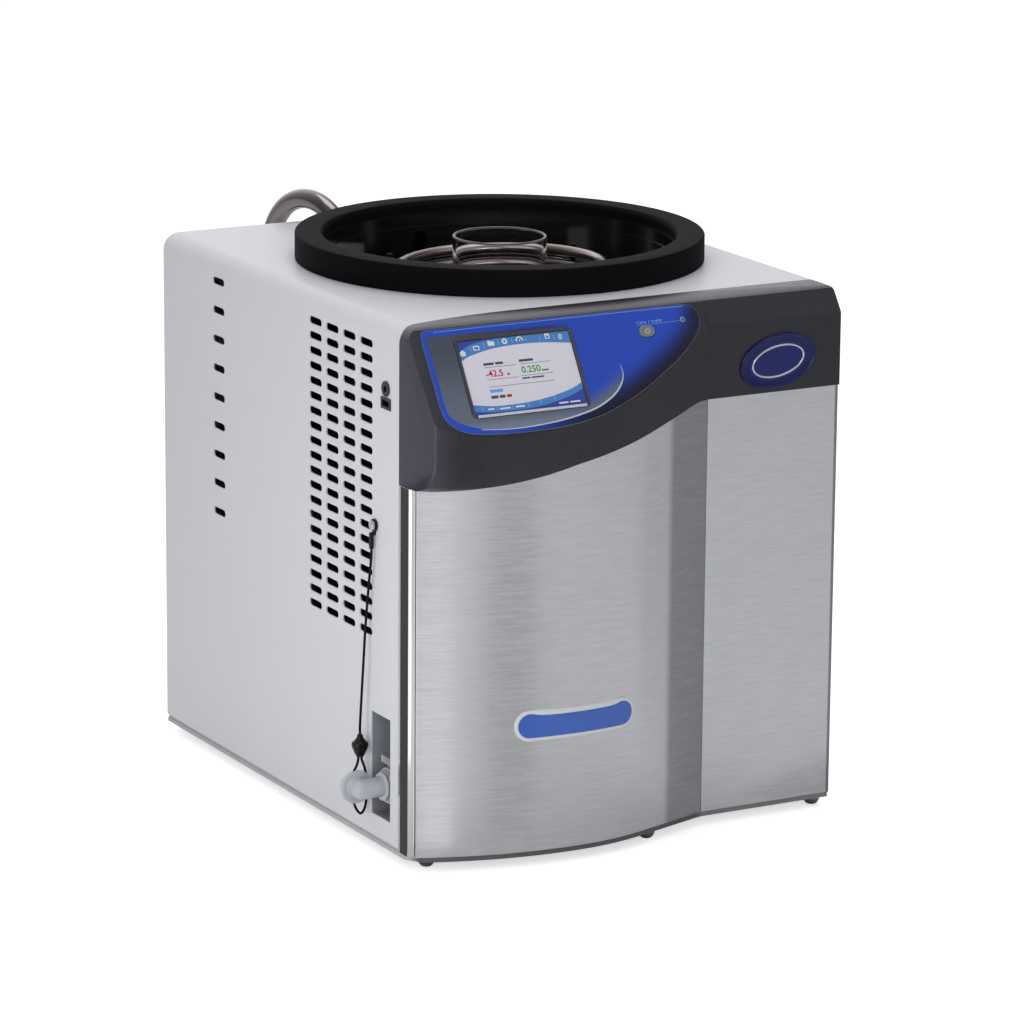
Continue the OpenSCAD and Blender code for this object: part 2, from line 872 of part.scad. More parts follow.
module fascia_right() {
    x0 = pod_split + gap;
    color([0.2, 0.2, 0.22])
        difference() {
            intersection() {
                on_front(-flat_lip, roof_front - gap + flat_lip)
                    fascia_front(x0, body_w);
                on_side(x0 - 1, body_w)
                    polygon([
                        [-flat_lip, pod_high - 1], [-flat_lip, crease_h], [ridge_y + 1, ridge_z],
                        [ridge_y + 5, ridge_z + 1.1], [roof_front, body_h], [roof_front, pod_high - 1]
                    ]);
            }
            // hollow behind the wall, open at the back and below
            difference() {
                translate([x0 + pod_wall, -flat_lip + pod_wall, pod_high - 2])
                    cube([body_w - x0 - 2 * pod_wall, roof_front, body_h - pod_high - pod_wall + 2]);
                on_side(x0 - 1, body_w)
                    polygon([
                        [-20, crease_h - 2], [-flat_lip + pod_wall, crease_h - 2],
                        [ridge_y + 3, ridge_z - 4], [ridge_y + 3, body_h + 9], [-20, body_h + 9]
                    ]);
            }
            // room for the panels' upper edges and the side panel's front edge
            translate([x0 - 1, -0.9, pod_high - 2])
                cube([pod_wall + 3, roof_front + 2, 18]);
            translate([x0, -gap, pod_high - 2])
                cube([body_w, roof_front + 2, 18]);
            translate([body_w - sheet_t - gap, side_front - gap, pod_high - 2])
                cube([sheet_t + 2, roof_front, body_h - bend_r - pod_high + 2 + gap]);
        }
}

// Outline of the printed overlay on the slope
function overlay_v(x) = (pod_front(x, 1) - ridge_y) * slope_k + 2.6;
module overlay_2d() {
    inset = 2.6;
    corner = 8;
    large = 17;
    x0 = 12;
    x1 = step_x - 13;
    // the large corner runs into the lower edge, which falls by 15 degrees there
    meet = x0 + large - large * sin(15);
    low = overlay_v(meet) + large * cos(15);
    polygon(concat(
        [for (a = [90:15:180]) [x0 + corner + corner * cos(a), -inset - corner + corner * sin(a)]],
        [for (a = [180:7.5:255]) [x0 + large + large * cos(a), low + large * sin(a)]],
        [for (x = [meet + 5:8:x1 - 12]) [x, overlay_v(x)]],
        [for (a = [-55:20:90]) [x1 - 13 + 13 * cos(a), -inset - 14 + 14 * sin(a)]]
    ));
}

module control_overlay() {
    color("royalblue")
        on_slope()
            linear_extrude(overlay_t)
                difference() {
                    overlay_2d();
                    translate([bezel_x, -bezel_v])
                        round_rect(bezel_w + 2 * gap, bezel_h + 2 * gap, 5);
                    translate([button_x, -button_v])
                        slot_2d(button_w + 2 * run_gap, button_h + 2 * run_gap);
                    translate([led_x, -led_v])
                        circle(d = led_d + 0.6, $fn = 32);
                }
}

module display_bezel() {
    color("silver")
        on_slope()
            translate([bezel_x, -bezel_v])
                linear_extrude(2)
                    difference() {
                        round_rect(bezel_w, bezel_h, 5);
                        round_rect(bezel_w - 2 * bezel_rim, bezel_h - 2 * bezel_rim, 2.5);
                    }
}

module display_glass() {
    color("lightgray")
        on_slope(glass_lift)
            translate([bezel_x, -bezel_v])
                linear_extrude(glass_t)
                    round_rect(bezel_w - 2 * bezel_rim - 1.4, bezel_h - 2 * bezel_rim - 1.4, 1.6);
}

module display_module() {
    color("dimgray")
        on_slope(glass_lift - module_t)
            translate([bezel_x, -bezel_v])
                linear_extrude(module_t)
                    round_rect(bezel_w - 2 * bezel_rim - 1.8, bezel_h - 2 * bezel_rim - 1.8, 1);
}

// Board behind the display and the button, on four stand-offs under the pod's wall
module control_board() {
    color("darkgreen")
        on_slope(board_lift) {
            translate([bezel_x - 46, -bezel_v - 20])
                cube([96, 44, board_t]);
            translate([bezel_x + 49, -button_v - 13])
                cube([button_x - bezel_x - 35, 22, board_t]);
            // spacers that carry the display module
            for (x = [-40, 40], y = [-16, 16])
                translate([bezel_x + x, -bezel_v + y])
                    cylinder(d = 5, h = spacer_l, $fn = 24);
            // stand-off to the pod's wall at the right
            translate([button_x - 14, -button_v])
                cylinder(d = 5, h = -board_lift - pod_wall, $fn = 24);
        }
}

module power_button() {
    color("gray")
        on_slope()
            translate([button_x, -button_v]) {
                translate([0, 0, flange_low + 0.5])
                    linear_extrude(button_face - flange_low - 0.5)
                        slot_2d(button_w, button_h);
                // flange that keeps the cap in
                translate([0, 0, flange_low])
                    linear_extrude(-pod_wall - gap - flange_low)
                        slot_2d(button_w + 3, button_h + 3);
            }
}

module button_switch() {
    low = board_lift + board_t;
    color("black")
        on_slope(low)
            translate([button_x, -button_v]) {
                translate([-6, -6, 0])
                    cube([12, 12, 1.8]);
                cylinder(d = 5, h = flange_low - button_travel - gap - low, $fn = 32);
            }
}

module status_light() {
    color("lightblue")
        on_slope(-pod_wall)
            translate([led_x, -led_v]) {
                cylinder(d = led_d, h = pod_wall + overlay_t, $fn = 48);
                translate([0, 0, pod_wall + overlay_t])
                    intersection() {
                        sphere(d = led_d, $fn = 48);
                        cylinder(d = led_d, h = 1.2, $fn = 48);
                    }
                // collar behind the wall
                translate([0, 0, -1])
                    cylinder(d = led_d + 2.4, h = 1, $fn = 48);
            }
}

// ---- badge and name plate ----

module on_badge() {
    translate([badge_x, -flat_lip, badge_z])
        rotate([90, -badge_tilt, 0])
            children();
}

// Shallow oval dish with a raised rim
module badge_dish() {
    color("mediumblue")
        on_badge()
            difference() {
                linear_extrude(2)
                    polygon(oval(badge_w, badge_h, 56));
                translate([0, 0, 1.1])
                    linear_extrude(2)
                        polygon(oval(badge_w - 3, badge_h - 3, 56));
            }
}

// Plain oval ring
module badge_emblem() {
    color("silver")
        on_badge()
            translate([0, 0, 1.1])
                linear_extrude(0.7)
                    difference() {
                        polygon(oval(badge_w - 22, badge_h - 18, 56));
                        polygon(oval(badge_w - 25.5, badge_h - 21.5, 56));
                    }
}

// Curved plate with round ends, seated on the bowed panel
module name_plate() {
    color("royalblue")
        intersection() {
            translate([0, 0, plate_z - plate_h])
                linear_extrude(2 * plate_h)
                    bow_band(0.1, 1.5);
            on_front(-100, 200)
                translate([plate_x, plate_z])
                    slot_2d(plate_w, plate_h);
        }
}

// ---- collector ----

module collector_gasket() {
    top = gasket_h;
    color([0.1, 0.1, 0.11])
        translate([col_x, col_y, body_h])
            rotate_extrude($fn = 128)
                polygon([
                    [gasket_ri - 1, rim_t + gap], [gasket_ri - 1, top - 11], [gasket_ri, top - 10],
                    [gasket_ri, top - 3], [gasket_ri + 1, top - 0.8], [gasket_ri + 2.6, top],
                    [gasket_r - 0.8, top], [gasket_r, top - 0.8], [gasket_r, 0],
                    [drum_ro + rim_w + gap, 0], [drum_ro + rim_w + gap, rim_t + gap]
                ]);
}

// Round pot with a rim that lies on the roof, a vacuum port and a drain hole
module collector_chamber() {
    color([0.13, 0.13, 0.14])
        translate([col_x, col_y, 0])
            difference() {
                union() {
                    translate([0, 0, drum_z])
                        cylinder(r = drum_ro, h = drum_depth + rim_t, $fn = 128);
                    translate([0, 0, body_h])
                        cylinder(r = drum_ro + rim_w, h = rim_t, $fn = 128);
                    // stub that the vacuum hose slips on
                    translate([0, drum_ri + 0.4, port_z])
                        rotate([-90, 0, 0])
                            cylinder(r = port_r, h = stub_l, $fn = 48);
                    // drain stub under the floor
                    translate([drain_hole[0], drain_hole[1], drum_z - stub_l])
                        cylinder(r = drain_stub_r, h = stub_l + 1, $fn = 48);
                }
                translate([0, 0, drum_z + drum_t])
                    cylinder(r = drum_ri, h = drum_depth + 20, $fn = 128);
                translate([0, drum_ri - 10, port_z])
                    rotate([-90, 0, 0])
                        cylinder(r = port_r - 1, h = stub_l + 20, $fn = 48);
                translate([drain_hole[0], drain_hole[1], drum_z - stub_l - 1])
                    cylinder(r = drain_stub_r - 1.5, h = stub_l + 10, $fn = 48);
            }
}

// Foam jacket around and under the pot
module chamber_insulation() {
    color("lightyellow")
        translate([col_x, col_y, 0])
            difference() {
                translate([0, 0, foam_z])
                    cylinder(r = drum_ro + gap + foam_t, h = foam_top - foam_z, $fn = 96);
                translate([0, 0, drum_z])
                    cylinder(r = drum_ro + gap, h = foam_top, $fn = 96);
                translate([drain_hole[0], drain_hole[1], foam_z - 1])
                    cylinder(r = drain_stub_r + gap, h = 2 * foam_t, $fn = 48);
            }
}

// Cold coil: a helix of steel tube with its inlet end run down to the floor
module collector_coil() {
    per_turn = 16;
    steps = coil_turns * per_turn;
    // the helix ends above the stand's lowest arm
    helix = [
        for (i = [0:steps])
            let (a = i * 360 / per_turn + 200)
                [coil_r * cos(a), coil_r * sin(a), coil_top - i * coil_pitch / per_turn]
    ];
    color("silver")
        translate([col_x, col_y, 0])
            sweep(helix, coil_d, 6);
}

// Three rods on the floor that carry the lowest turn and steady the others
module coil_stand() {
    rod_d = 5;
    rod_at = coil_r + coil_d / 2 + gap + rod_d / 2;
    color("silver")
        translate([col_x, col_y, drum_z + drum_t])
            for (a = [20, 140, 260])
                rotate(a) {
                    translate([rod_at, 0, 0])
                        cylinder(d = rod_d, h = coil_top - drum_z - drum_t, $fn = 32);
                    low = stand_arm(a) - drum_z - drum_t;
                    translate([coil_r - 6, -2.5, low - 4])
                        cube([rod_at - coil_r + 6, 5, 4]);
                }
}

// Height of the coil's underside over the direction a
function stand_arm(a) =
    let (last = coil_turns * 360 + 200, back = (last - a) % 360)
        coil_low + back / 360 * coil_pitch - coil_d / 2 * cos(30) - coil_pitch / 20;

module baffle_tube() {
    low = drum_z + drum_t;
    color([0.8, 0.85, 0.9, 0.5])
        translate([col_x, col_y, low])
            ring(baffle_r - baffle_t, baffle_r, gasket_top - baffle_drop - low);
}

// ---- vacuum tube ----

// Bent tube: a half circle over the rear edge and a straight end on each side
module vacuum_tube() {
    color("silver")
        translate([bend_at[0], bend_at[1], bend_z])
            rotate([0, 0, tube_turn]) {
                rotate([90, 0, 0])
                    rotate_extrude(angle = 180, $fn = 96)
                        translate([tube_bend, 0])
                            difference() {
                                circle(tube_d / 2, $fn = 48);
                                circle(tube_d / 2 - tube_t, $fn = 48);
                            }
                translate([tube_bend, 0, -tube_end])
                    tube_leg(tube_end);
                translate([-tube_bend, 0, -leg_in])
                    tube_leg(leg_in);
            }
}

module tube_leg(h) {
    difference() {
        cylinder(d = tube_d, h = h, $fn = 48);
        translate([0, 0, -1])
            cylinder(d = tube_d - 2 * tube_t, h = h + 2, $fn = 48);
    }
}

// Black hose inside, from the chamber's stub to the bent tube's inner end
module vacuum_hose() {
    start = [col_x, col_y + drum_ri + 0.4 + stub_l, port_z];
    low = [leg_front[0], leg_front[1], bend_z - leg_in];
    color("black")
        sweep(soften(fill_path([
            start, start + [0, 8, 0], start + [-6, 18, -8], [low[0] + 24, start[1] + 18, low[2] - 8],
            [low[0] + 4, low[1] + 6, low[2] - 26], low - [0, 0, 10], low
        ], 12)), hose_d, 12);
}

// Rubber ring around the tube in the roof
module tube_grommet() {
    color("black")
        translate([leg_front[0], leg_front[1], bend_z])
            difference() {
                rotate([0, 0, tube_turn])
                    translate([tube_shift, 0, tube_down - sheet_t - 1.5])
                        cylinder(r = tube_d / 2 + 3.7, h = sheet_t + 3.5);
                translate([-leg_front[0], -leg_front[1], -bend_z])
                    translate([bend_at[0], bend_at[1], bend_z])
                        rotate([90, 0, tube_turn])
                            rotate_extrude(angle = 180, $fn = 96)
                                translate([tube_bend, 0])
                                    circle(tube_d / 2 + gap, $fn = 48);
            }
}

// ---- drain ----

// Open box behind the opening in the left side
module drain_pocket() {
    t = 1.6;
    color("whitesmoke")
        difference() {
            translate([sheet_t, pocket_y - t, pocket_z - t])
                cube([pocket_in, pocket_l + 2 * t, pocket_h + 2 * t]);
            translate([0, pocket_y, pocket_z])
                cube([pocket_in + sheet_t - t, pocket_l, pocket_h]);
            translate([pocket_in - 5, drain_y, drain_z])
                rotate([0, 90, 0])
                    cylinder(d = 12.6, h = 20, $fn = 48);
        }
}

// Bulkhead body: a threaded neck through the pocket, a round body and a front collar
module drain_coupling() {
    back = pocket_in + sheet_t - 1.6;
    color("whitesmoke")
        translate([0, drain_y, drain_z])
            rotate([0, 90, 0])
                difference() {
                    union() {
                        translate([0, 0, 6])
                            cylinder(r = coupling_r, h = back - 6, $fn = 64);
                        translate([0, 0, 3.4])
                            cylinder(r = coupling_r - 1.8, h = 3, $fn = 64);
                        translate([0, 0, back])
                            cylinder(d = 12, h = 14, $fn = 48);
                        translate([0, 0, back + 1.6 + gap])
                            cylinder(d = 20, h = 4, $fn = 6);
                    }
                    translate([0, 0, -1])
                        cylinder(r = plug_r + gap, h = 15, $fn = 48);
                    translate([0, 0, 10])
                        cylinder(d = 7, h = 60, $fn = 48);
                    // channel that the latch slides in
                    translate([-coupling_r - 1, -latch_w / 2 - run_gap, 9])
                        cube([2 * coupling_r + 2, latch_w + 2 * run_gap, latch_t + 2 * run_gap]);
                }
}

// Thumb latch: a plate with an eye around the plug and a tab to press down
module drain_latch() {
    top = coupling_r + 4;
    color("lightgray")
        translate([9 + run_gap, drain_y, drain_z]) {
            difference() {
                translate([0, -latch_w / 2, -coupling_r + latch_travel + 1])
                    cube([latch_t, latch_w, top + coupling_r - latch_travel - 1]);
                translate([-1, 0, -0.5])
                    rotate([0, 90, 0])
                        cylinder(r = plug_r - 4.2, h = latch_t + 2, $fn = 48);
            }
            translate([-latch_tab + latch_t, -latch_w / 2 - 2, top])
                cube([latch_tab + 2, latch_w + 4, 2]);
            translate([-latch_tab + latch_t, -latch_w / 2 - 2, top])
                cube([1.6, latch_w + 4, 6]);
        }
}

// Elbow plug: a straight arm out of the coupling, a corner and a flanged cap
module drain_elbow() {
    r = elbow_d / 2;
    color("whitesmoke")
        translate([-elbow_out, drain_y, drain_z])
            union() {
                sphere(r, $fn = 64);
                rotate([0, 90, 0])
                    cylinder(r = r, h = elbow_out + 1.2, $fn = 64);
                // wavy collar against the coupling
                translate([elbow_out + 0.2, 0, 0])
                    rotate([0, 90, 0])
                        cylinder(r = coupling_r - 3, h = 2.6, $fn = 64);
                // plug inside the coupling
                translate([elbow_out + 2, 0, 0])
                    rotate([0, 90, 0])
                        cylinder(r = plug_r, h = 6.4, $fn = 48);
                rotate([-90, 0, 0]) {
                    cylinder(r = r, h = 8, $fn = 64);
                    translate([0, 0, 7])
                        cylinder(r = flange_r, h = 3, $fn = 64);
                    translate([0, 0, 9])
                        cylinder(r = flange_r - 2.4, h = 7, $fn = 64);
                    // groove that the loop lies in, and its end button
                    translate([0, 0, 15])
                        cylinder(r = 5, h = 8, $fn = 48);
                    translate([0, 0, 21.6])
                        cylinder(r = 7, h = 1.8, $fn = 48);
                }
            }
}

// Clear hose from the chamber's drain stub to the back of the coupling
module drain_hose() {
    top = [col_x + drain_hole[0], col_y + drain_hole[1], drum_z - stub_l];
    low = [pocket_in + sheet_t - 1.6 + 14, drain_y, drain_z];
    color("whitesmoke")
        sweep(soften(fill_path([
            top, top - [0, 0, 10], [top[0] + 12, top[1] - 22, top[2] - 50],
            [top[0] + 4, top[1] - 78, low[2] + 50], low + [40, 4, 8], low + [8, 0, 0], low
        ], 16)), 12, 10);
}

// ---- lanyard ----

module lanyard_screw() {
    color("silver")
        translate([0, screw_y, screw_z])
            rotate([0, -90, 0]) {
                translate([0, 0, -8])
                    cylinder(r = screw_r, h = 10.6, $fn = 32);
                translate([0, 0, 2.2])
                    cylinder(r = 4.2, h = 1.4, $fn = 48);
                translate([0, 0, 3.5])
                    cylinder(r1 = 4.2, r2 = 2.8, h = 0.9, $fn = 48);
            }
}

// Black eyelet under the screw's head, with the sleeve that grips the cord
module lanyard_eyelet() {
    color("black")
        union() {
            translate([0, screw_y, screw_z])
                rotate([0, -90, 0])
                    translate([0, 0, gap])
                        difference() {
                            union() {
                                cylinder(r = 5.4, h = 1.7, $fn = 48);
                                translate([-8, -2, 0])
                                    cube([6, 4, 1.7]);
                            }
                            translate([0, 0, -1])
                                cylinder(r = screw_r + 0.2, h = 4, $fn = 32);
                        }
            translate([-cord_d - 1.2, screw_y, 258])
                cylinder(d = 4, h = screw_z - 258 - 6, $fn = 32);
        }
}

module lanyard_cord() {
    color("black")
        sweep(soften(fill_path(CORD, 5.6)), cord_d, 8);
}

// Turned bead that both strands pass through
module lanyard_bead() {
    mid = (bead_top + bead_low) / 2;
    color("black")
        translate([bead_x, bead_y, 0])
            rotate_extrude($fn = 48)
                polygon([
                    [0, bead_low], [3.1, bead_low], [7, mid - 1], [7, mid + 2],
                    [3, bead_top - 3], [2, bead_top], [0, bead_top]
                ]);
}

module lanyard_loop() {
    color("black")
        sweep(soften(fill_path(LOOP, 5)), cord_d, 8);
}

// ---- sockets ----

module sensor_jack() {
    color("black")
        difference() {
            union() {
                on_side(-1.4, 1.4)
                    translate([jack_y, jack_z])
                        circle(jack_r + 2.2);
                on_side(-1, 14)
                    translate([jack_y, jack_z])
                        circle(jack_r);
            }
            on_side(-2, 12)
                translate([jack_y, jack_z])
                    circle(2.7, $fn = 32);
        }
}

module data_socket() {
    color("black") {
        difference() {
            union() {
                on_side(-1, 1)
                    translate([jack_y, data_z])
                        square([data_w + 3, data_h + 2.6], center = true);
                on_side(-0.5, 14)
                    translate([jack_y, data_z])
                        square([data_w, data_h], center = true);
            }
            on_side(-2, 13)
                translate([jack_y, data_z])
                    square([data_w - 1.6, data_h - 2.2], center = true);
        }
        on_side(2, 9.5)
            translate([jack_y, data_z + 0.9])
                square([data_w - 3.6, 1.6], center = true);
    }
}

// Mains inlet with a flanged face and three flat pins
module power_inlet() {
    pin_l = 12;
    color("black")
        translate([inlet_x, body_d, inlet_z])
            rotate([90, 0, 0]) {
                difference() {
                    union() {
                        translate([0, 0, -2.4])
                            linear_extrude(2.4)
                                round_rect(inlet_w + 17, inlet_h + 5, 4);
                        translate([0, 0, -0.5])
                            linear_extrude(22)
                                round_rect(inlet_w, inlet_h, 3);
                    }
                    translate([0, 0, -3])
                        linear_extrude(19)
                            round_rect(24, 16.5, 3);
                }
                for (p = [[-7, -1.5], [0, 2.5], [7, -1.5]])
                    translate([p[0] - 1, p[1] - 2, 16 - pin_l])
                        cube([2, 4, pin_l + 0.5]);
            }
}

// ---- refrigeration ----

// Sealed compressor with a seam band and a terminal cover
module compressor() {
    color([0.1, 0.1, 0.1])
        translate([comp_x, comp_y, comp_z]) {
            rotate_extrude($fn = 96)
                polygon(concat(
                    [[0, 0], [comp_r - 16, 0]],
                    [for (a = [-90:15:0]) [comp_r - 16 + 16 * cos(a), 16 + 16 * sin(a)]],
                    [[comp_r, 78], [comp_r + 3, 78], [comp_r + 3, 84], [comp_r, 84]],
                    [for (a = [0:15:90]) [comp_r - 30 + 30 * cos(a), comp_h - 30 + 30 * sin(a)]],
                    [[0, comp_h]]
                ));
            for (x = [-1, 1], y = [-1, 1])
                translate([x * 62 - 14, y * 48 - 14, 0])
                    cube([28, 28, 3]);
            translate([comp_r - 6, -20, 40])
                cube([22, 40, 36]);
        }
}

module compressor_mounts() {
    color("black")
        for (x = [-1, 1], y = [-1, 1])
            translate([comp_x + x * 64, comp_y + y * 50, floor_z])
                cylinder(r = 8, h = comp_z - floor_z, $fn = 32);
}

// Finned block that stands on two end plates
module condenser() {
    dx = condenser_x[1] - condenser_x[0];
    dy = condenser_y[1] - condenser_y[0];
    dz = condenser_z[1] - condenser_z[0];
    color("silver") {
        translate([condenser_x[0] + 2, condenser_y[0] + 2, condenser_z[0]])
            cube([dx - 4, dy - 4, dz]);
        for (y = [condenser_y[0], condenser_y[1] - 2])
            translate([condenser_x[0], y, floor_z])
                cube([dx, 2, condenser_z[1] - floor_z]);
    }
}

// Plate that closes the block except for the fan's round opening
module fan_shroud() {
    color("dimgray")
        difference() {
            translate([shroud_x, condenser_y[0], floor_z])
                cube([shroud_t, condenser_y[1] - condenser_y[0], fan_z + fan_r + 60 - floor_z]);
            translate([shroud_x - 1, fan_y, fan_z])
                rotate([0, 90, 0])
                    cylinder(r = fan_r + fan_gap, h = 5, $fn = 96);
        }
}

module fan_motor() {
    color("dimgray")
        translate([motor_x, fan_y, fan_z])
            rotate([0, 90, 0]) {
                cylinder(r = motor_r, h = motor_l, $fn = 64);
                // shaft that the rotor runs on
                translate([0, 0, fan_x - motor_x - 6])
                    cylinder(r = shaft_r, h = motor_x - fan_x + 7, $fn = 48);
            }
}

// Hub and five pitched blades
module fan_rotor() {
    hub_r = 16;
    hub_h = 14;
    color("black")
        translate([fan_x, fan_y, fan_z])
            rotate([0, 90, 0])
                difference() {
                    union() {
                        translate([0, 0, -2])
                            cylinder(r = hub_r, h = hub_h, $fn = 64);
                        for (i = [0:4])
                            rotate(i * 72)
                                translate([hub_r - 2, 0, 5])
                                    rotate([28, 0, 0])
                                        translate([0, -11, -0.8])
                                            cube([fan_r - hub_r + 1, 22, 1.6]);
                    }
                    translate([0, 0, -20])
                        cylinder(r = shaft_r + 0.05, h = 60, $fn = 48);
                }
}

// Strap from the shroud's lower edge up to the motor's back
module fan_bracket() {
    back = motor_x + motor_l + gap;
    color("dimgray") {
        translate([back, fan_y - 15, floor_z])
            cube([3, 30, fan_z + motor_r - floor_z]);
        translate([shroud_x + shroud_t + gap, fan_y - 15, floor_z])
            cube([back - shroud_x - shroud_t, 30, 2]);
        // saddle under the motor
        translate([motor_x + 6, fan_y - 10, floor_z])
            cube([motor_l - 10, 20, fan_z - motor_r - gap - floor_z]);
    }
}

module filter_drier() {
    color([0.72, 0.45, 0.2])
        translate([drier_x, drier_y, drier_z]) {
            rotate_extrude($fn = 48)
                polygon([
                    [0, 0], [4, 0], [4, 6], [11, 14], [11, drier_l - 14], [4, drier_l - 6],
                    [4, drier_l], [0, drier_l]
                ]);
            // clamp bar to the rear panel
            translate([-6, 9, drier_l / 2 - 6])
                cube([12, body_d - sheet_t - drier_y - 9, 12]);
        }
}

// Hot gas from the compressor to the condenser's top
module discharge_line() {
    start = [comp_x - comp_r, comp_y - 10, comp_z + 60];
    color([0.72, 0.45, 0.2])
        sweep(soften(fill_path([
            start, start - [12, 0, 0], [150, 320, 90], [60, 300, 110], [line_x, 240, 150],
            [line_x, 210, 300], [line_x, condenser_y[1] + 10, 360], [line_x, condenser_y[1], 360]
        ], 18)), 8, 8);
}

// Liquid from the condenser's foot to the filter drier
module liquid_line() {
    color([0.72, 0.45, 0.2])
        sweep(soften(fill_path([
            [line_x, condenser_y[1], 110], [line_x, condenser_y[1] + 14, 110], [40, 260, 60],
            [drier_x - 60, drier_y - 20, 34], [drier_x, drier_y, 36], [drier_x, drier_y, 46],
            [drier_x, drier_y, drier_z]
        ], 18)), 6.4, 8);
}

// Return from the chamber's foam to the compressor
module suction_line() {
    color([0.72, 0.45, 0.2])
        sweep(soften(fill_path([
            [comp_x, comp_y - 30, foam_z], [comp_x, comp_y - 30, foam_z - 12],
            [comp_x, comp_y - 30, comp_z + comp_h]
        ], 18)), 9.5, 8);
}

// Box of power electronics behind the flat panel
module electronics_box() {
    color("lightslategray")
        translate([step_x + 16, 22, floor_z])
            cube([body_w - step_x - 24, 46, 300 - floor_z]);
}

// Places of the rear panel's screws
module at_screws() {
    for (x = [12, body_w / 2, body_w - 12], z = [foot_h + 12, body_h - 24])
        translate([x, body_d, z])
            rotate([-90, 0, 0])
                children();
}

module screw_holes() {
    at_screws()
        translate([0, 0, -12])
            cylinder(d = 3 + gap, h = 14, $fn = 24);
}

module panel_screws() {
    color("silver")
        at_screws() {
            cylinder(d = 7, h = 1.8, $fn = 32);
            translate([0, 0, -6])
                cylinder(d = 3, h = 6.5, $fn = 24);
        }
}

place() base_pan();
place() foot(0);  // foot_front_left
place() foot(1);  // foot_front_middle
place() foot(2);  // foot_front_right
place() foot(3);  // foot_rear_left
place() foot(4);  // foot_rear_right
place() foot_studs();
place() cabinet_cover();
place() rear_panel();
place() corner_post();
place() front_panel_bow();
place() front_panel_flat();
place() control_pod();
place() fascia_right();
place() control_overlay();
place() display_bezel();
place() display_glass();
place() display_module();
place() control_board();
place() power_button();
place() button_switch();
place() status_light();
place() badge_dish();
place() badge_emblem();
place() name_plate();
place() collector_gasket();
place() collector_chamber();
place() chamber_insulation();
place() collector_coil();
place() coil_stand();
place() baffle_tube();
place() vacuum_tube();
place() vacuum_hose();
place() tube_grommet();
place() drain_pocket();
place() drain_coupling();
place() drain_latch();
place() drain_elbow();
place() drain_hose();
place() lanyard_screw();
place() lanyard_eyelet();
place() lanyard_cord();
place() lanyard_bead();
place() lanyard_loop();
place() sensor_jack();
place() data_socket();
place() power_inlet();
place() compressor();
place() compressor_mounts();
place() condenser();
place() fan_shroud();
place() fan_motor();
place() fan_rotor();
place() fan_bracket();
place() filter_drier();
place() discharge_line();
place() liquid_line();
place() suction_line();
place() electronics_box();
place() panel_screws();
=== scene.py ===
# %% [markdown]
# # A benchtop freeze dryer
# The machine is a steel cabinet with a bowed stainless front. A dark control
# pod wraps its upper edge, and a round cold chamber opens through the roof
# under a thick rubber gasket. The frame is the machine's exact solid model.
# Everything made below is placed from that frame, in metres.

# %% Load the frame
import json
import math

import bmesh
import bpy
import numpy as np
from mathutils import Matrix, Vector
from mathutils.geometry import delaunay_2d_cdt

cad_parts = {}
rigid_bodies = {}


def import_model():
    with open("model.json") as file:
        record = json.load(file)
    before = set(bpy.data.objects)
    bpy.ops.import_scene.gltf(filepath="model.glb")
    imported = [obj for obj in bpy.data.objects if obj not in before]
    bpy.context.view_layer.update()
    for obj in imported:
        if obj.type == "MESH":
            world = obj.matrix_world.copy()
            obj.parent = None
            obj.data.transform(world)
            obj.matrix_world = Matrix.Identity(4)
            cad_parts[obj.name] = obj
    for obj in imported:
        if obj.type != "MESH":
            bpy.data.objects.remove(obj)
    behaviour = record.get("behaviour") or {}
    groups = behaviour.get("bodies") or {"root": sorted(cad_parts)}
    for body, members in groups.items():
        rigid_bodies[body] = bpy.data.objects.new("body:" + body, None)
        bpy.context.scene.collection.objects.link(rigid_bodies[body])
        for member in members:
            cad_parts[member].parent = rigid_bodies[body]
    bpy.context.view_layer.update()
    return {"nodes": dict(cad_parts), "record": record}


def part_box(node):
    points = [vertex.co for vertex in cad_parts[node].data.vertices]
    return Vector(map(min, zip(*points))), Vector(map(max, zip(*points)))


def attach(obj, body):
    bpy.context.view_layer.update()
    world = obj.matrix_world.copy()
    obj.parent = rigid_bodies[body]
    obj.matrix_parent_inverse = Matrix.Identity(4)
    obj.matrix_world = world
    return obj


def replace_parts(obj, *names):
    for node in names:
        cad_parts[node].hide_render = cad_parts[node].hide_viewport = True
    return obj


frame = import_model()

# %% [markdown]
# ## Cabinet coordinates
# A maker measures a cabinet from its own corners. Here x runs from the left
# side's outer face, y from the flat front panel back, and z up from the bench,
# all in millimetres. One function turns such points into the frame's metres.

# %% Cabinet coordinates
LEFT_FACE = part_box("cabinet_cover")[0].x
REAR_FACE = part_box("rear_panel")[1].y
BODY_D, BODY_H = 464.0, 448.0


def place(points):
    """Millimetres in the cabinet's coordinates to metres in the frame: divide
    by a thousand, then add the place of the left front corner."""
    corner = np.array([LEFT_FACE, REAR_FACE - BODY_D / 1000, 0.0])
    return np.asarray(points, float) / 1000 + corner


print("cabinet corner", place([0, 0, 0]).round(4))

# %% [markdown]
# ## Camera
# The viewer stands to the front left, a little above the roof, with a long
# lens, so that upright edges stay nearly parallel. The view's axes come from
# three angles: the turn, the downward tilt and a very small roll.

# %% Camera
# The eye's place, the lens and its film in millimetres, angles in radians, and
# how far it sees in metres.
EYE = place([-1827.5, -3484.7, 1276.93])
TURN, TILT, ROLL = 0.50422, 0.24350, 0.00847
LENS, FILM_WIDTH, FAR_END = 177.746, 36.0, 50.0


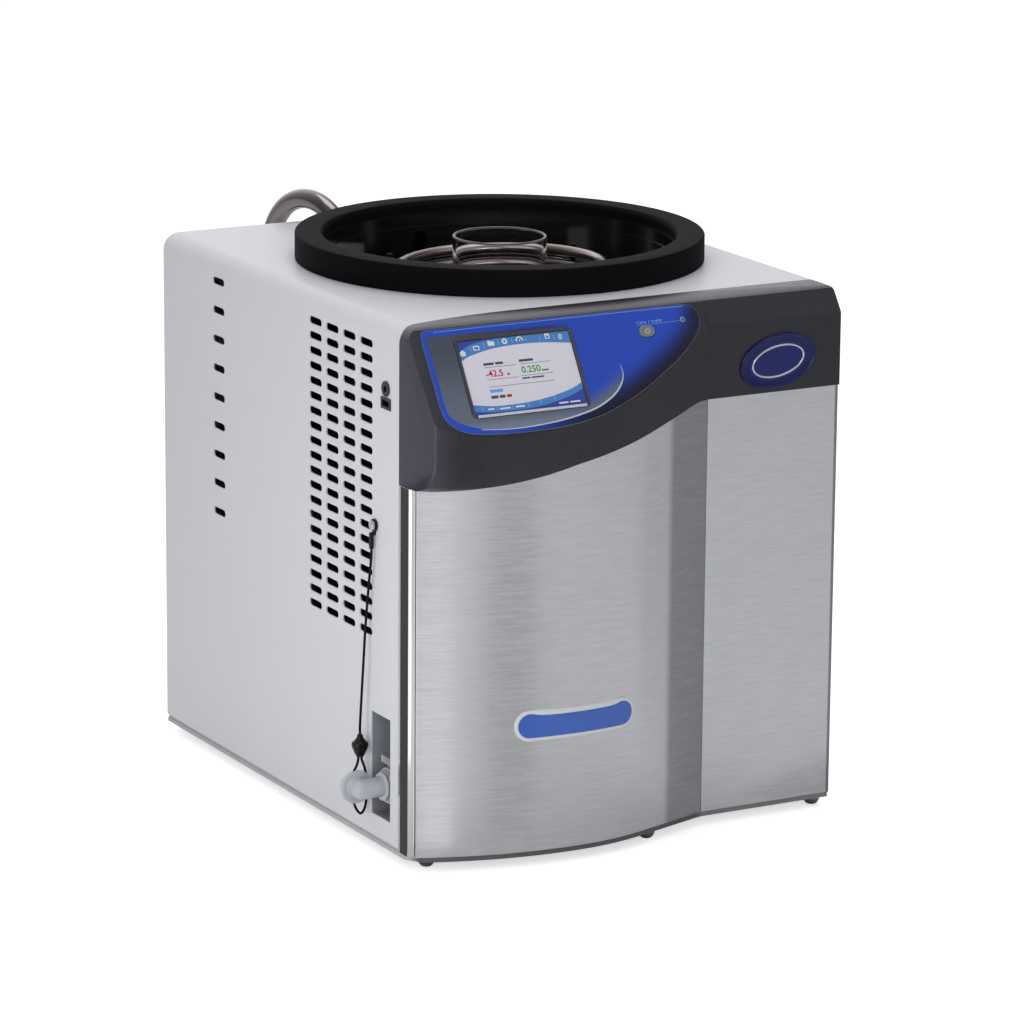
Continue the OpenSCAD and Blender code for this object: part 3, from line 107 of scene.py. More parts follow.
def view_axes(turn, tilt, roll):
    """The camera's right, up and forward directions. Forward is turned from +Y
    towards +X and tipped down. Right is level, up is across both, and the roll
    turns right and up about forward."""
    forward = np.array([math.sin(turn) * math.cos(tilt), math.cos(turn) * math.cos(tilt), -math.sin(tilt)])
    level = np.array([math.cos(turn), -math.sin(turn), 0.0])
    upright = np.cross(level, forward)
    right = math.cos(roll) * level + math.sin(roll) * upright
    up = -math.sin(roll) * level + math.cos(roll) * upright
    return right, up, forward


right, up, forward = view_axes(TURN, TILT, ROLL)
camera_data = bpy.data.cameras.new("camera")
camera_data.sensor_width = FILM_WIDTH
camera_data.lens = LENS
camera_data.clip_end = FAR_END
camera = bpy.data.objects.new("camera", camera_data)
bpy.context.scene.collection.objects.link(camera)
axes = np.eye(4)
axes[:3] = np.column_stack([right, up, -forward, EYE])
camera.matrix_world = Matrix(axes.tolist())
bpy.context.scene.camera = camera
print("camera at", EYE.round(3))

# %% [markdown]
# ## Studio
# The light is a plain studio: a large soft lamp high on the left, one overhead,
# one in front, a small one low by the drain, and a pale world. Brushed steel
# shows what is around it, so the world is darker to the right and low down.
# That gives the bowed front its slow fade. What lies behind is white to the
# camera only, so no extra light falls on the machine.

# %% Studio
scene = bpy.context.scene
scene.view_settings.view_transform = "Standard"
WHITE = (1, 1, 1, 1)
SKY_STOPS = ((0.3, 0.31), (0.5, 0.54), (0.72, 0.58), (0.84, 0.36))
SKY_TINT = np.array([0.98, 0.985, 1.03])
SKY_LEFT, SKY_RIGHT, RIGHT_STOP = (0.115, 0.118, 0.13, 1), (0.03, 0.03, 0.035, 1), 0.96


def builder(owner):
    """Turns on and clears the nodes of a material or world, and returns a
    helper that adds one. A socket given a value keeps it as a constant, and a
    socket given another node's output is linked to it."""
    owner.use_nodes = True
    tree = owner.node_tree
    tree.nodes.clear()

    def add(kind, sockets=None, **values):
        node = tree.nodes.new("ShaderNode" + kind)
        for key, value in values.items():
            setattr(node, key, value)
        for key, value in (sockets or {}).items():
            if isinstance(value, bpy.types.NodeSocket):
                tree.links.new(value, node.inputs[key])
            else:
                node.inputs[key].default_value = value
        return node

    return add


def ranged(add, value, low=0.0, high=1.0, to_low=0.0, to_high=1.0):
    """A value carried from one range to another and held at both ends."""
    ends = {"From Min": low, "From Max": high, "To Min": to_low, "To Max": to_high}
    return add("MapRange", {"Value": value, **ends}).outputs[0]


def studio_world():
    """The sky seen in reflections: a ramp over the direction's left-right part,
    dark at the far right, times a strength that grows with height and towards
    the horizon behind the machine."""
    world = bpy.data.worlds.new("studio")
    scene.world = world
    add = builder(world)
    way = add("SeparateXYZ", {0: add("TexCoord").outputs["Generated"]}).outputs
    across = add("ValToRGB", {0: ranged(add, way["X"], -1)})
    ramp = across.color_ramp.elements
    ramp[0].position, ramp[0].color = 0.0, SKY_LEFT
    ramp[1].position, ramp[1].color = RIGHT_STOP, SKY_RIGHT
    for stop, grey in SKY_STOPS:
        ramp.new(stop).color = (*(SKY_TINT * grey), 1)
    height = ranged(add, way["Z"], -0.6, 0.5, 0.5, 1.0)
    behind = ranged(add, way["Y"], 0.2, 0.9, 0.0, 1.45)
    strength = add("Math", {0: height, 1: behind}, operation="ADD").outputs[0]
    sky = add("Background", {"Color": across.outputs[0], "Strength": strength}).outputs[0]
    plain = add("Background", {"Color": WHITE, "Strength": 1.0}).outputs[0]
    chosen = add("MixShader", {0: add("LightPath").outputs["Is Camera Ray"], 1: sky, 2: plain})
    add("OutputWorld", {0: chosen.outputs[0]})


def soft_lamp(name, at, aim, size, power):
    """A square area lamp of that size in metres, turned to look at aim."""
    data = bpy.data.lights.new(name, "AREA")
    data.shape = "SQUARE"
    data.size = size
    data.energy = power
    lamp = bpy.data.objects.new(name, data)
    scene.collection.objects.link(lamp)
    lamp.location = at
    lamp.rotation_euler = (Vector(aim) - Vector(at)).to_track_quat("-Z", "Y").to_euler()


studio_world()
soft_lamp("key_lamp", (-2.6, -1.6, 2.6), (0, 0, 0.25), 2.2, 18)
soft_lamp("low_lamp", (-0.90, -0.46, 0.10), (-0.18, -0.12, 0.05), 0.45, 2.5)
soft_lamp("top_lamp", (0.4, 0.5, 3.2), (0, 0, 0.3), 2.0, 20)
soft_lamp("front_lamp", (-0.9, -3.4, 1.4), (0, 0, 0.25), 1.6, 17)

# %% [markdown]
# ## Cards for reflections
# Polished metal shows what stands round it, and a studio has cards and cloths
# that a bare scene lacks. Each card here gives off a little light, yet only
# mirror-like rays see it, so the shading and the shadows stay as they are. Two
# strips on the floor draw the soft light and dark columns on the bowed steel.

# %% Cards for reflections
CARD_LIFT = 0.002


def reflected(name, points, faces, glow):
    """A card that only mirror-like reflections see: it draws a dark or bright
    shape on polished metal and changes nothing else. glow is its brightness."""
    mesh = bpy.data.meshes.new(name)
    mesh.from_pydata(points, [], faces)
    made = bpy.data.materials.new(name)
    add = builder(made)
    add("OutputMaterial", {0: add("Emission", {"Strength": glow}).outputs[0]})
    mesh.materials.append(made)
    card = bpy.data.objects.new(name, mesh)
    scene.collection.objects.link(card)
    card.visible_camera = card.visible_diffuse = card.visible_shadow = card.visible_transmission = False


def upright(a, b, low, high):
    """The corners of an upright card over the floor line from a to b."""
    return [(*a, low), (*b, low), (*b, high), (*a, high)], [(0, 1, 2, 3)]


def lying(*corners):
    """The corners of a strip that lies just over the floor."""
    return [(*corner, CARD_LIFT) for corner in corners], [(0, 1, 2, 3)]


cloth, _ = lying((0.16, -0.29), (1.30, -0.82), (1.50, 0.20), (0.42, -0.05))
reflected("grey_cloth", cloth + [(1.30, -0.82, 0.9), (1.50, 0.20, 0.9)], [(0, 1, 2, 3), (1, 2, 5, 4)], 0.42)
reflected("pale_strip", *lying((-0.200, -0.294), (-0.163, -0.308), (-0.57, -2.41), (-0.99, -2.28)), 0.92)
reflected("dim_strip", *lying((-0.128, -0.317), (-0.072, -0.324), (0.44, -2.40), (-0.177, -2.457)), 0.50)
for name, a, b, low, high, glow in (
        ("black_card", (-0.1886, -0.2112), (-0.2396, -0.2145), -0.01, 0.318, 0.08),
        ("white_card", (-0.495, -0.180), (-0.452, -0.425), 0.0, 0.44, 1.6),
        ("light_card", (0.33, -0.49), (0.60, -0.49), 0.58, 0.86, 0.8),
        ("wall_card_right", (0.1288, 0.0775), (0.1264, 0.0895), 0.408, 0.446, 0.45),
        ("wall_card_left", (-0.0264, 0.1270), (-0.0258, 0.1360), 0.395, 0.440, 0.5)):
    reflected(name, *upright(a, b, low, high), glow)

# %% [markdown]
# ## Floor
# The floor catches the shadow, which is what makes the machine stand on it.
# Its material looks white to the camera, while a little real diffuse shading
# is mixed in so that the soft shadow under the feet still shows.

# %% Floor
FLOOR_HALF, FLOOR_GREY, FLOOR_GLOW = 6.0, 0.86, 0.62


def floor_material():
    """White emission seen by the camera, added to the shading that a pale
    diffuse floor receives, and plain diffuse for all other rays."""
    made = bpy.data.materials.new("pale_floor")
    add = builder(made)
    diffuse = add("BsdfDiffuse", {"Color": (FLOOR_GREY, FLOOR_GREY, FLOOR_GREY, 1)}).outputs[0]
    glow = add("Emission", {"Color": WHITE, "Strength": FLOOR_GLOW}).outputs[0]
    both = add("AddShader", {0: diffuse, 1: glow}).outputs[0]
    chosen = add("MixShader", {0: add("LightPath").outputs["Is Camera Ray"], 1: diffuse, 2: both})
    add("OutputMaterial", {0: chosen.outputs[0]})
    return made


floor_mesh = bpy.data.meshes.new("floor")
corners = np.array([[-1, -1, 0], [1, -1, 0], [1, 1, 0], [-1, 1, 0]]) * FLOOR_HALF
floor_mesh.from_pydata(corners.tolist(), [], [(0, 1, 2, 3)])
floor_mesh.materials.append(floor_material())
floor = bpy.data.objects.new("floor", floor_mesh)
scene.collection.objects.link(floor)
print("floor", 2 * FLOOR_HALF, "m wide")

# %% [markdown]
# ## Finishes
# A real surface is never one flat colour. Powder coat is finely pebbled,
# brushed steel carries long thin scratches, and a moulding has a matte spark
# texture. All of these are noise at the right size: even in three directions
# for paint, or stretched along the grain for steel. The same noise moves the
# colour a little, the roughness a little more, and tilts the surface.

# %% Finishes
CLOUD_TIMES, CLOUD_DARK, COAT_ROUGH, LEAST_ROUGH, PAINT_GRAIN = 40, 0.55, 0.12, 0.02, 0.25


def finish(name, colour, rough, size=0.8, metal=0.0, stretch=(1, 1, 1), tint=0.05, swing=0.06, bump=0.15,
           depth=0.02, coat=0.0, cloud=0.04, clear=0.0, shine=0.5, bend=1.5, fade=None, paint=False):
    """Noise of that size in millimetres, divided by stretch in each direction,
    moves the colour by tint and the roughness by swing and is a bump of that
    depth in millimetres. A second noise, forty times larger, clouds the colour.
    fade is (axis, start, stop, before, after), a factor on the colour that goes
    from before to after between two places along an axis. With paint, the
    colour stored in the mesh takes the flat colour's place."""
    made = bpy.data.materials.new(name)
    add = builder(made)
    per_metre = 1000 / size
    where = add("TexCoord").outputs["Object"]
    drawn_out = add("Mapping", {"Vector": where, "Scale": [per_metre / s for s in stretch]}).outputs[0]
    noise = add("TexNoise", {"Vector": drawn_out, "Scale": 1.0, "Detail": 3.0}).outputs[0]
    large = add("TexNoise", {"Vector": where, "Scale": per_metre / CLOUD_TIMES, "Detail": 2.0}).outputs[0]

    def blended(share, first, second, **values):
        return add("Mix", {0: share, 6: first, 7: second}, data_type="RGBA", **values).outputs[2]

    low, high, dark = (tuple(min(1, c * part) for c in colour) + (1,) for part in (1 - tint, 1 + tint, CLOUD_DARK))
    base = blended(ranged(add, large, 0.3, 0.7, 0.0, cloud), blended(noise, low, high), dark)
    # The fade paints light or shade: a factor on the colour along one axis.
    if fade:
        place_on = add("SeparateXYZ", {0: where}).outputs[fade[0]]
        base = blended(1.0, base, ranged(add, place_on, *fade[1:]), blend_type="MULTIPLY")
    if paint:
        stored = add("Attribute", attribute_name="paint").outputs["Color"]
        base = blended(PAINT_GRAIN, stored, base, blend_type="OVERLAY")
    gloss = ranged(add, noise, 0.0, 1.0, max(LEAST_ROUGH, rough - swing), min(1.0, rough + swing))
    tilt = add("Bump", {"Strength": bump, "Distance": depth / 1000, "Height": noise}).outputs[0]
    shader = add("BsdfPrincipled", {
        "Base Color": base, "Roughness": gloss, "Normal": tilt, "Metallic": metal, "Coat Weight": coat,
        "Coat Roughness": COAT_ROUGH, "Transmission Weight": clear, "Specular IOR Level": shine, "IOR": bend})
    add("OutputMaterial", {0: shader.outputs[0]})
    return made


print("clouds are", CLOUD_TIMES, "times the grain")

# %% [markdown]
# ## The table of finishes
# Each line gives one finish: its colour, its roughness, the size of its grain
# and whatever else sets it apart. The names are those that the solid model's
# record uses, so a piece finds its finish by its own slot. The bowed and the
# flat panel wear the same steel with painted shade: darker along the bow's
# straight return and along the flat panel's right edge. The pan's front edge
# also carries painted shade, and the pod's left end painted light.

# %% The table of finishes
GRAIN_X, GRAIN_Z, GRAIN_FRONT = (60, 60, 0.4), (0.4, 0.4, 60), (14, 14, 1.0)


def look(red, green, blue, rough, size=0.8, **more):
    """A line of the table: a colour, a roughness, the pattern's size in
    millimetres, and whatever else sets this finish apart."""
    return dict(more, colour=(red, green, blue), rough=rough, size=size)


def bare(*numbers, **more):
    """A line of the table for bare metal."""
    return look(*numbers, metal=1.0, **more)


FINISHES = {
    "cover_paint": look(0.735, 0.74, 0.752, 0.42, 0.9, bump=0.3, depth=0.03, cloud=0.02, tint=0.015),
    # The pan's fade darkens its front edge to a fifth: painted shade under the front panel.
    "pan_paint": look(0.50, 0.50, 0.52, 0.45, 0.7, bump=0.3, depth=0.03, fade=("Y", -0.236, -0.230, 0.2, 1.0)),
    "foot_rubber": look(0.03, 0.03, 0.032, 0.62, 0.5, bump=0.3),
    "foot_metal": bare(0.22, 0.22, 0.23, 0.16, 0.5, tint=0.08),
    "zinc": bare(0.58, 0.59, 0.61, 0.34, 0.6, tint=0.12, cloud=0.15),
    "front_steel": bare(0.65, 0.66, 0.68, 0.24, 1.5, stretch=GRAIN_FRONT, tint=0.18, swing=0.04, bump=0.06, depth=0.01),
    "post_steel": bare(0.70, 0.70, 0.71, 0.10, 0.6, stretch=GRAIN_Z, tint=0.08, bump=0.2, depth=0.01),
    # The fascia's fade makes the pod's left end up to 2.6 times lighter: painted light where that side catches the
    # lamps.
    "fascia_plastic": look(0.014, 0.0145, 0.021, 0.28, 0.45, bump=0.35, depth=0.03, tint=0.14, cloud=0.08,
                           fade=("X", -0.184, -0.160, 2.6, 1.0)),
    "overlay_print": look(0.018, 0.056, 0.42, 0.28, 1.2, bump=0.06, shine=0.3, tint=0.03),
    "bezel_metal": bare(0.60, 0.61, 0.62, 0.26, 0.5, tint=0.05),
    "bezel_dark": look(0.045, 0.046, 0.05, 0.25, 0.5, coat=0.3, tint=0.05),
    "screen": look(0.79, 0.77, 0.85, 0.22, 0.5, bump=0.02, tint=0.01, cloud=0.02),
    "module_can": bare(0.50, 0.51, 0.53, 0.38, stretch=GRAIN_X),
    "board_green": look(0.012, 0.13, 0.05, 0.32, 1.4, coat=0.3, tint=0.2),
    "button_grey": look(0.20, 0.215, 0.235, 0.36, 0.35, bump=0.25),
    "switch_black": look(0.02, 0.02, 0.022, 0.45, 0.4),
    "light_lens": look(0.05, 0.09, 0.30, 0.12, 0.5, coat=0.6),
    "badge_blue": look(0.006, 0.010, 0.09, 0.2, shine=0.35, bump=0.04),
    "badge_pale": look(0.008, 0.016, 0.14, 0.2, shine=0.35, bump=0.04),
    "plate_white": look(0.74, 0.75, 0.77, 0.25, coat=0.4, bump=0.04, tint=0.02),
    "emblem_silver": bare(0.70, 0.71, 0.73, 0.24, 0.4, tint=0.1),
    "plate_blue": look(0.03, 0.12, 0.52, 0.2, coat=0.6, bump=0.04),
    "gasket_rubber": look(0.0055, 0.0055, 0.0072, 0.66, 1.1, shine=0.04, bump=0.35, depth=0.05, tint=0.25, swing=0.1,
                          cloud=0.2),
    "chamber_black": look(0.005, 0.005, 0.0045, 0.22, 1.5, shine=0.35, coat=0.2, tint=0.2),
    "foam": look(0.022, 0.022, 0.024, 0.85, 2.2, bump=0.8, depth=0.5, tint=0.2, cloud=0.2),
    "coil_steel": bare(0.34, 0.29, 0.27, 0.22, 0.9, tint=0.1, cloud=0.12, bump=0.1),
    "baffle_clear": look(0.95, 0.955, 1.0, 0.0, 8.0, clear=1.0, bend=1.13, bump=0.0, tint=0.0, swing=0.0, cloud=0.0),
    "rim_clear": look(0.22, 0.22, 0.30, 0.3, 1.0, clear=0.7, bend=1.3, bump=0.0, tint=0.02),
    "tube_steel": bare(0.27, 0.245, 0.235, 0.10, tint=0.06, bump=0.08),
    "hose_rubber": look(0.02, 0.02, 0.021, 0.55, 0.7, bump=0.3),
    "pocket_plastic": look(0.30, 0.31, 0.35, 0.48, 0.5, bump=0.25),
    "coupling_plastic": look(0.49, 0.50, 0.54, 0.16, 0.6, bump=0.04, cloud=0.05, coat=0.5),
    "latch_metal": bare(0.62, 0.63, 0.65, 0.28, 0.5, stretch=GRAIN_Z),
    "hose_clear": look(0.70, 0.72, 0.74, 0.25, 1.0, clear=0.25),
    "screw_chrome": bare(0.72, 0.72, 0.74, 0.12, 0.5, tint=0.04),
    "cord_black": look(0.004, 0.004, 0.0045, 0.75, 0.5, bump=0.6, depth=0.08, tint=0.3, shine=0.2),
    "bead_black": look(0.004, 0.004, 0.0045, 0.25, 0.6, shine=0.35),
    "socket_black": look(0.013, 0.013, 0.015, 0.38, 0.4, bump=0.2),
    "compressor_paint": look(0.018, 0.018, 0.02, 0.3, 1.6, bump=0.3, depth=0.06, coat=0.2),
    # Near black: on the condenser this is painted shade that keeps the louvres dark; the coil stand wears it for its
    # dull surface.
    "fin_black": look(0.008, 0.008, 0.009, 0.6, 0.7, shine=0.1),
    "shroud_paint": look(0.07, 0.07, 0.075, 0.42, bump=0.25),
    "motor_metal": bare(0.36, 0.37, 0.39, 0.42, 1.4, bump=0.4, depth=0.08, tint=0.15),
    "fan_plastic": look(0.02, 0.02, 0.022, 0.42, 0.5),
    "copper": bare(0.72, 0.33, 0.17, 0.26, 1.2, tint=0.18, cloud=0.35),
    "box_paint": look(0.26, 0.29, 0.33, 0.45, 0.9, bump=0.3),
}
# Painted shade: the bow's steel is darkened to 0.56 along its straight return, and the flat panel's to 0.40 along its
# right edge.
FINISHES["bow_steel_painted_shade"] = dict(FINISHES["front_steel"], fade=("X", 0.045, 0.052, 1.0, 0.56))
FINISHES["flat_steel_painted_shade"] = dict(FINISHES["front_steel"], fade=("X", 0.2130, 0.2138, 1.0, 0.40))
materials = {name: finish(name, **values) for name, values in FINISHES.items()}
slot_of = {row["node"]: row["material_slot"] for row in frame["record"]["subparts"]}


def wear(obj, name):
    """Gives a piece one finish, in every slot of its mesh."""
    if not obj.data.materials:
        obj.data.materials.append(materials[name])
    for index in range(len(obj.data.materials)):
        obj.data.materials[index] = materials[name]


for node, obj in frame["nodes"].items():
    wear(obj, slot_of[node])
print(len(materials), "finishes on", len(frame["nodes"]), "nodes")

# %% [markdown]
# ## Surfaces from numbers
# Every piece made here is a surface worked out as one array of points. A grid
# of points becomes quads between neighbours. A profile turned about an axis
# and a ring carried along a path are both such grids, so a few short
# functions make almost every shape on the machine.

# %% Surfaces from numbers
FLAT_ANGLE = math.radians(0.4)


def grid_faces(rows, cols, loop=False):
    """Quads between neighbours of a grid numbered row by row. The last column
    joins the first, and the last row joins the first if loop."""
    r = np.arange(rows if loop else rows - 1)[:, None]
    c = np.arange(cols)[None, :]
    a, b = r * cols + c, r * cols + (c + 1) % cols
    down = (r + 1) % rows * cols
    return np.stack([a, b, down + (c + 1) % cols, down + c], -1).reshape(-1, 4)


def tube_faces(rows, cols):
    """The grid's quads, and one face over each end of the tube they make."""
    last = (rows - 1) * cols
    return grid_faces(rows, cols).tolist() + [list(range(cols))[::-1], list(range(last, last + cols))]


def merged(mesh, weld, sliver):
    """The mesh opened for work, with points closer than weld merged and edges
    shorter than sliver dissolved, both in metres."""
    work = bmesh.new()
    work.from_mesh(mesh)
    bmesh.ops.remove_doubles(work, verts=work.verts, dist=weld)
    bmesh.ops.dissolve_degenerate(work, edges=work.edges, dist=sliver)
    return work


def finished(name, mesh, work, finish_name, body, sharp):
    """Writes the worked mesh back with smooth faces and creases over the sharp
    angle, and makes it a piece in its finish, riding on its body."""
    for face in work.faces:
        face.smooth = True
    for edge in work.edges:
        edge.smooth = len(edge.link_faces) == 2 and edge.calc_face_angle(0.0) < math.radians(sharp)
    work.to_mesh(mesh)
    work.free()
    obj = bpy.data.objects.new(name, mesh)
    scene.collection.objects.link(obj)
    wear(obj, finish_name)
    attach(obj, body)
    return obj


def piece(name, points, faces, finish_name, body="cabinet", sharp=35):
    """A mesh from millimetre points and lists of corners, closed where points
    coincide, with its faces turned outwards and its edges smooth below the
    sharp angle in degrees. It rides on its body."""
    mesh = bpy.data.meshes.new(name)
    mesh.from_pydata(place(points).tolist(), [], [list(map(int, f)) for f in faces])
    work = merged(mesh, weld=2e-6, sliver=1e-6)
    if work.calc_volume(signed=True) < 0:
        bmesh.ops.reverse_faces(work, faces=work.faces)
    return finished(name, mesh, work, finish_name, body, sharp)


def skin(node, width, finish_name=None, body="cabinet", sharp=30, steps=2):
    """A smooth copy of a solid. Its loose triangles are merged, flat
    neighbours become one face, and every edge over the sharp angle is rounded
    by a bevel of that width in millimetres. It stands for the solid."""
    mesh = frame["nodes"][node].data.copy()
    mesh.name = node + "_skin"
    work = merged(mesh, weld=4e-6, sliver=4e-6)
    bmesh.ops.dissolve_limit(work, angle_limit=FLAT_ANGLE, verts=work.verts, edges=work.edges)
    mesh.materials.clear()
    obj = finished(node + "_skin", mesh, work, finish_name or slot_of[node], body, sharp)
    bevel = obj.modifiers.new("rounded_edges", "BEVEL")
    bevel.width = width / 1000
    bevel.segments = steps
    bevel.limit_method = "ANGLE"
    bevel.angle_limit = math.radians(sharp)
    bevel.harden_normals = True
    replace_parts(obj, node)
    return obj


print("a tube of 3 rings of 8 has", len(tube_faces(3, 8)), "faces")

# %% [markdown]
# ## Turned and swept shapes
# A lathe turns a profile about an axis, and a bender carries a ring along a
# path. These are the two ways in which most of the machine's parts are made, so
# they are the two ways used here. A third joins several such shapes into one.

# %% Turned and swept shapes
CORNER_SHARE, CURVE_STEPS = 0.45, 24


def turned(profile, centre, axis="z", steps=96):
    """Points and faces of a profile of (radius, height) turned about an axis
    through centre: each point goes round a circle of its radius."""
    profile = np.asarray(profile, float)
    angle = np.arange(steps) * 2 * np.pi / steps
    a, b = profile[:, :1] * np.cos(angle), profile[:, :1] * np.sin(angle)
    h = profile[:, 1:] + 0 * a
    order = {"z": (a, b, h), "x": (h, a, b), "y": (b, h, a)}[axis]
    points = np.stack(order, -1).reshape(-1, 3) + np.asarray(centre, float)
    return points, grid_faces(len(profile), steps)


def rounded(corners, radius, steps=4):
    """An open profile with each inner corner replaced by an arc: the curve
    that runs from a point before the corner to one after it, pulled towards
    the corner as a quadratic curve is. An arc leaves some of each side."""
    corners = np.asarray(corners, float)
    corner = corners[1:-1]
    sides = np.stack([corners[:-2] - corner, corners[2:] - corner])
    lengths = np.linalg.norm(sides, axis=2)
    reach = np.minimum(radius, CORNER_SHARE * lengths.min(0))
    start, end = corner + sides / lengths[..., None] * reach[:, None]
    t = np.linspace(0, 1, steps + 1)[None, :, None]
    arcs = start[:, None] * (1 - t) ** 2 + 2 * corner[:, None] * t * (1 - t) + end[:, None] * t ** 2
    return np.concatenate([corners[:1], arcs.reshape(-1, corners.shape[1]), corners[-1:]])


def travelled(path):
    """How far along a path each of its points is: the running sum of steps."""
    return np.concatenate([[0], np.cumsum(np.linalg.norm(np.diff(path, axis=0), axis=1))])


def along(points, step):
    """A smooth curve through the points: between each pair a cubic whose ends
    point along the neighbours' difference, then points equally far apart."""
    p = np.asarray(points, float)
    padded = np.concatenate([2 * p[:1] - p[1:2], p, 2 * p[-1:] - p[-2:-1]])
    t = np.linspace(0, 1, CURVE_STEPS, endpoint=False)[None, :, None]
    a, b, c, d = (padded[i:len(padded) - 3 + i][:, None] for i in range(4))
    cubic = 0.5 * (2 * b + (c - a) * t + (2 * a - 5 * b + 4 * c - d) * t ** 2 + (3 * b - a - 3 * c + d) * t ** 3)
    dense = np.concatenate([cubic.reshape(-1, p.shape[1]), p[-1:]])
    far = travelled(dense)
    even = np.linspace(0, far[-1], max(3, int(round(far[-1] / step)) + 1))
    return np.stack([np.interp(even, far, dense[:, k]) for k in range(p.shape[1])], -1)


def swept(path, radius, sides=16, hint=(0, 0, 1)):
    """Points and faces of rings carried along a path. Each ring lies across
    the path's direction, and its first point is turned towards hint."""
    path = np.asarray(path, float)
    direction = np.gradient(path, axis=0)
    direction /= np.linalg.norm(direction, axis=1)[:, None]
    first = np.cross(direction, np.asarray(hint, float))
    first /= np.linalg.norm(first, axis=1)[:, None]
    second = np.cross(direction, first)
    angle = (np.arange(sides) * 2 * np.pi / sides)[None, :, None]
    reach = np.broadcast_to(radius, len(path))[:, None, None]
    rings = path[:, None] + reach * (np.cos(angle) * first[:, None] + np.sin(angle) * second[:, None])
    return rings.reshape(-1, 3), tube_faces(len(path), sides)


def join(*parts):
    """Several sets of points and faces as one: the face numbers of each are
    moved on by the points before it."""
    points = np.concatenate([p for p, _ in parts])
    starts = np.cumsum([0] + [len(p) for p, _ in parts])
    faces = [[int(k) + int(s) for k in f] for (_, fs), s in zip(parts, starts) for f in fs]
    return points, faces


print("a curve of 30 mm in steps of 2 has", len(along([(0, 0), (10, 0), (30, 0)], 2)), "points")

# %% [markdown]
# ## Where the front faces are
# Two faces carry everything the user touches. The bowed panel is a large arc
# that runs into a straight stretch, and the control face slopes back at a rise
# of 1.6 over a run of 1. These functions give a point on each from two flat
# coordinates, so that prints and plates can be drawn flat and laid on.

# %% Where the front faces are
# The bow's foremost point, its depth, its outer and inner radius, and the step
# where it meets the flat panel.
BOW_X, BOW_DEPTH, BOW_R, BOW_R2, STEP_X = 142.0, 33.0, 325.0, 200.0, 275.0
RIDGE_Y, RIDGE_Z, SLOPE = 10.0, 446.0, math.atan(1.6)
run_length = math.hypot(BOW_R2 - BOW_DEPTH, STEP_X - BOW_X)
RUN_A = math.atan2(STEP_X - BOW_X, BOW_R2 - BOW_DEPTH) - math.acos(BOW_R2 / run_length)
RUN_X = BOW_X + BOW_R2 * math.sin(RUN_A)
RUN_Y = -BOW_DEPTH + BOW_R2 * (1 - math.cos(RUN_A))


def bow_at(x, off=0.0):
    """The bow's front at x, moved forward by off: two arcs that meet at the
    foremost point, then the tangent back to the flat panel."""
    x = np.asarray(x, float)
    left = BOW_R - BOW_DEPTH - np.sqrt((BOW_R + off) ** 2 - (x - BOW_X) ** 2)
    inner = np.clip((BOW_R2 + off) ** 2 - (x - BOW_X) ** 2, 0, None)
    right = BOW_R2 - BOW_DEPTH - np.sqrt(inner)
    straight = RUN_Y + (x - RUN_X) * math.tan(RUN_A) - off / math.cos(RUN_A)
    return np.where(x < BOW_X, left, np.where(x < RUN_X + off * math.sin(RUN_A), right, straight))


def on_slope(points):
    """(u, v, w) to the cabinet: u along the machine, v up the slope from its
    upper ridge, w out of the face."""
    u, v, w = np.asarray(points, float).T
    return np.stack([u, RIDGE_Y + v * math.cos(SLOPE) - w * math.sin(SLOPE),
                     RIDGE_Z + v * math.sin(SLOPE) + w * math.cos(SLOPE)], -1)


def on_bow(points):
    """(x, z, out) to the cabinet: out is the distance in front of the bow."""
    x, z, out = np.asarray(points, float).T
    return np.stack([x, bow_at(x, out), z], -1)


def laid(name, shape, space, finish_name, body="cabinet", sharp=35):
    """A piece whose flat points are carried onto a face by space."""
    points, faces = shape
    return piece(name, space(points), faces, finish_name, body, sharp)


print("bow runs straight from x", round(RUN_X, 1))

# %% [markdown]
# ## The gasket
# The ring is one thick moulding of black rubber. Its inner edge has a narrow
# lower step and a rounded lip, and its outer wall is upright. A profile of
# eleven corners, each softened by a small arc, is turned about the axis. The
# chamber's black lip stands just inside it, as a second and much thinner ring.

# %% The gasket
COL_X, COL_Y = 210.4, 239.6
RING_AT, RING_STEPS, GASKET_SOFT = (COL_X, COL_Y, BODY_H), 256, 1.4
GASKET = [(150.5, 1.8), (148.6, 1.8), (148.6, 11.5), (149.5, 13), (149.6, 19.6), (151.9, 22.95),
          (173.0, 22.95), (173.95, 21.9), (173.95, 0.05), (155.9, 0.05), (155.9, 1.8), (150.5, 1.8)]
gasket = piece("gasket_ring", *turned(rounded(GASKET, GASKET_SOFT), RING_AT, steps=RING_STEPS), "gasket_rubber")
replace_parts(gasket, "collector_gasket")
LIP = [(148.8, 0.9), (148.25, 0.9), (148.25, 12.0), (148.8, 12.0), (148.8, 0.9)]
piece("chamber_lip", *turned(LIP, RING_AT, steps=RING_STEPS), "chamber_black", sharp=30)
print("gasket faces", len(gasket.data.polygons))

# %% [markdown]
# ## The cold coil
# Twelve close turns of steel tube freeze the vapour. A helix is a circle that
# climbs at a steady rate, and the tube is a ring carried along it. Both ends
# are drawn in to a dome, as a brazed cap is.

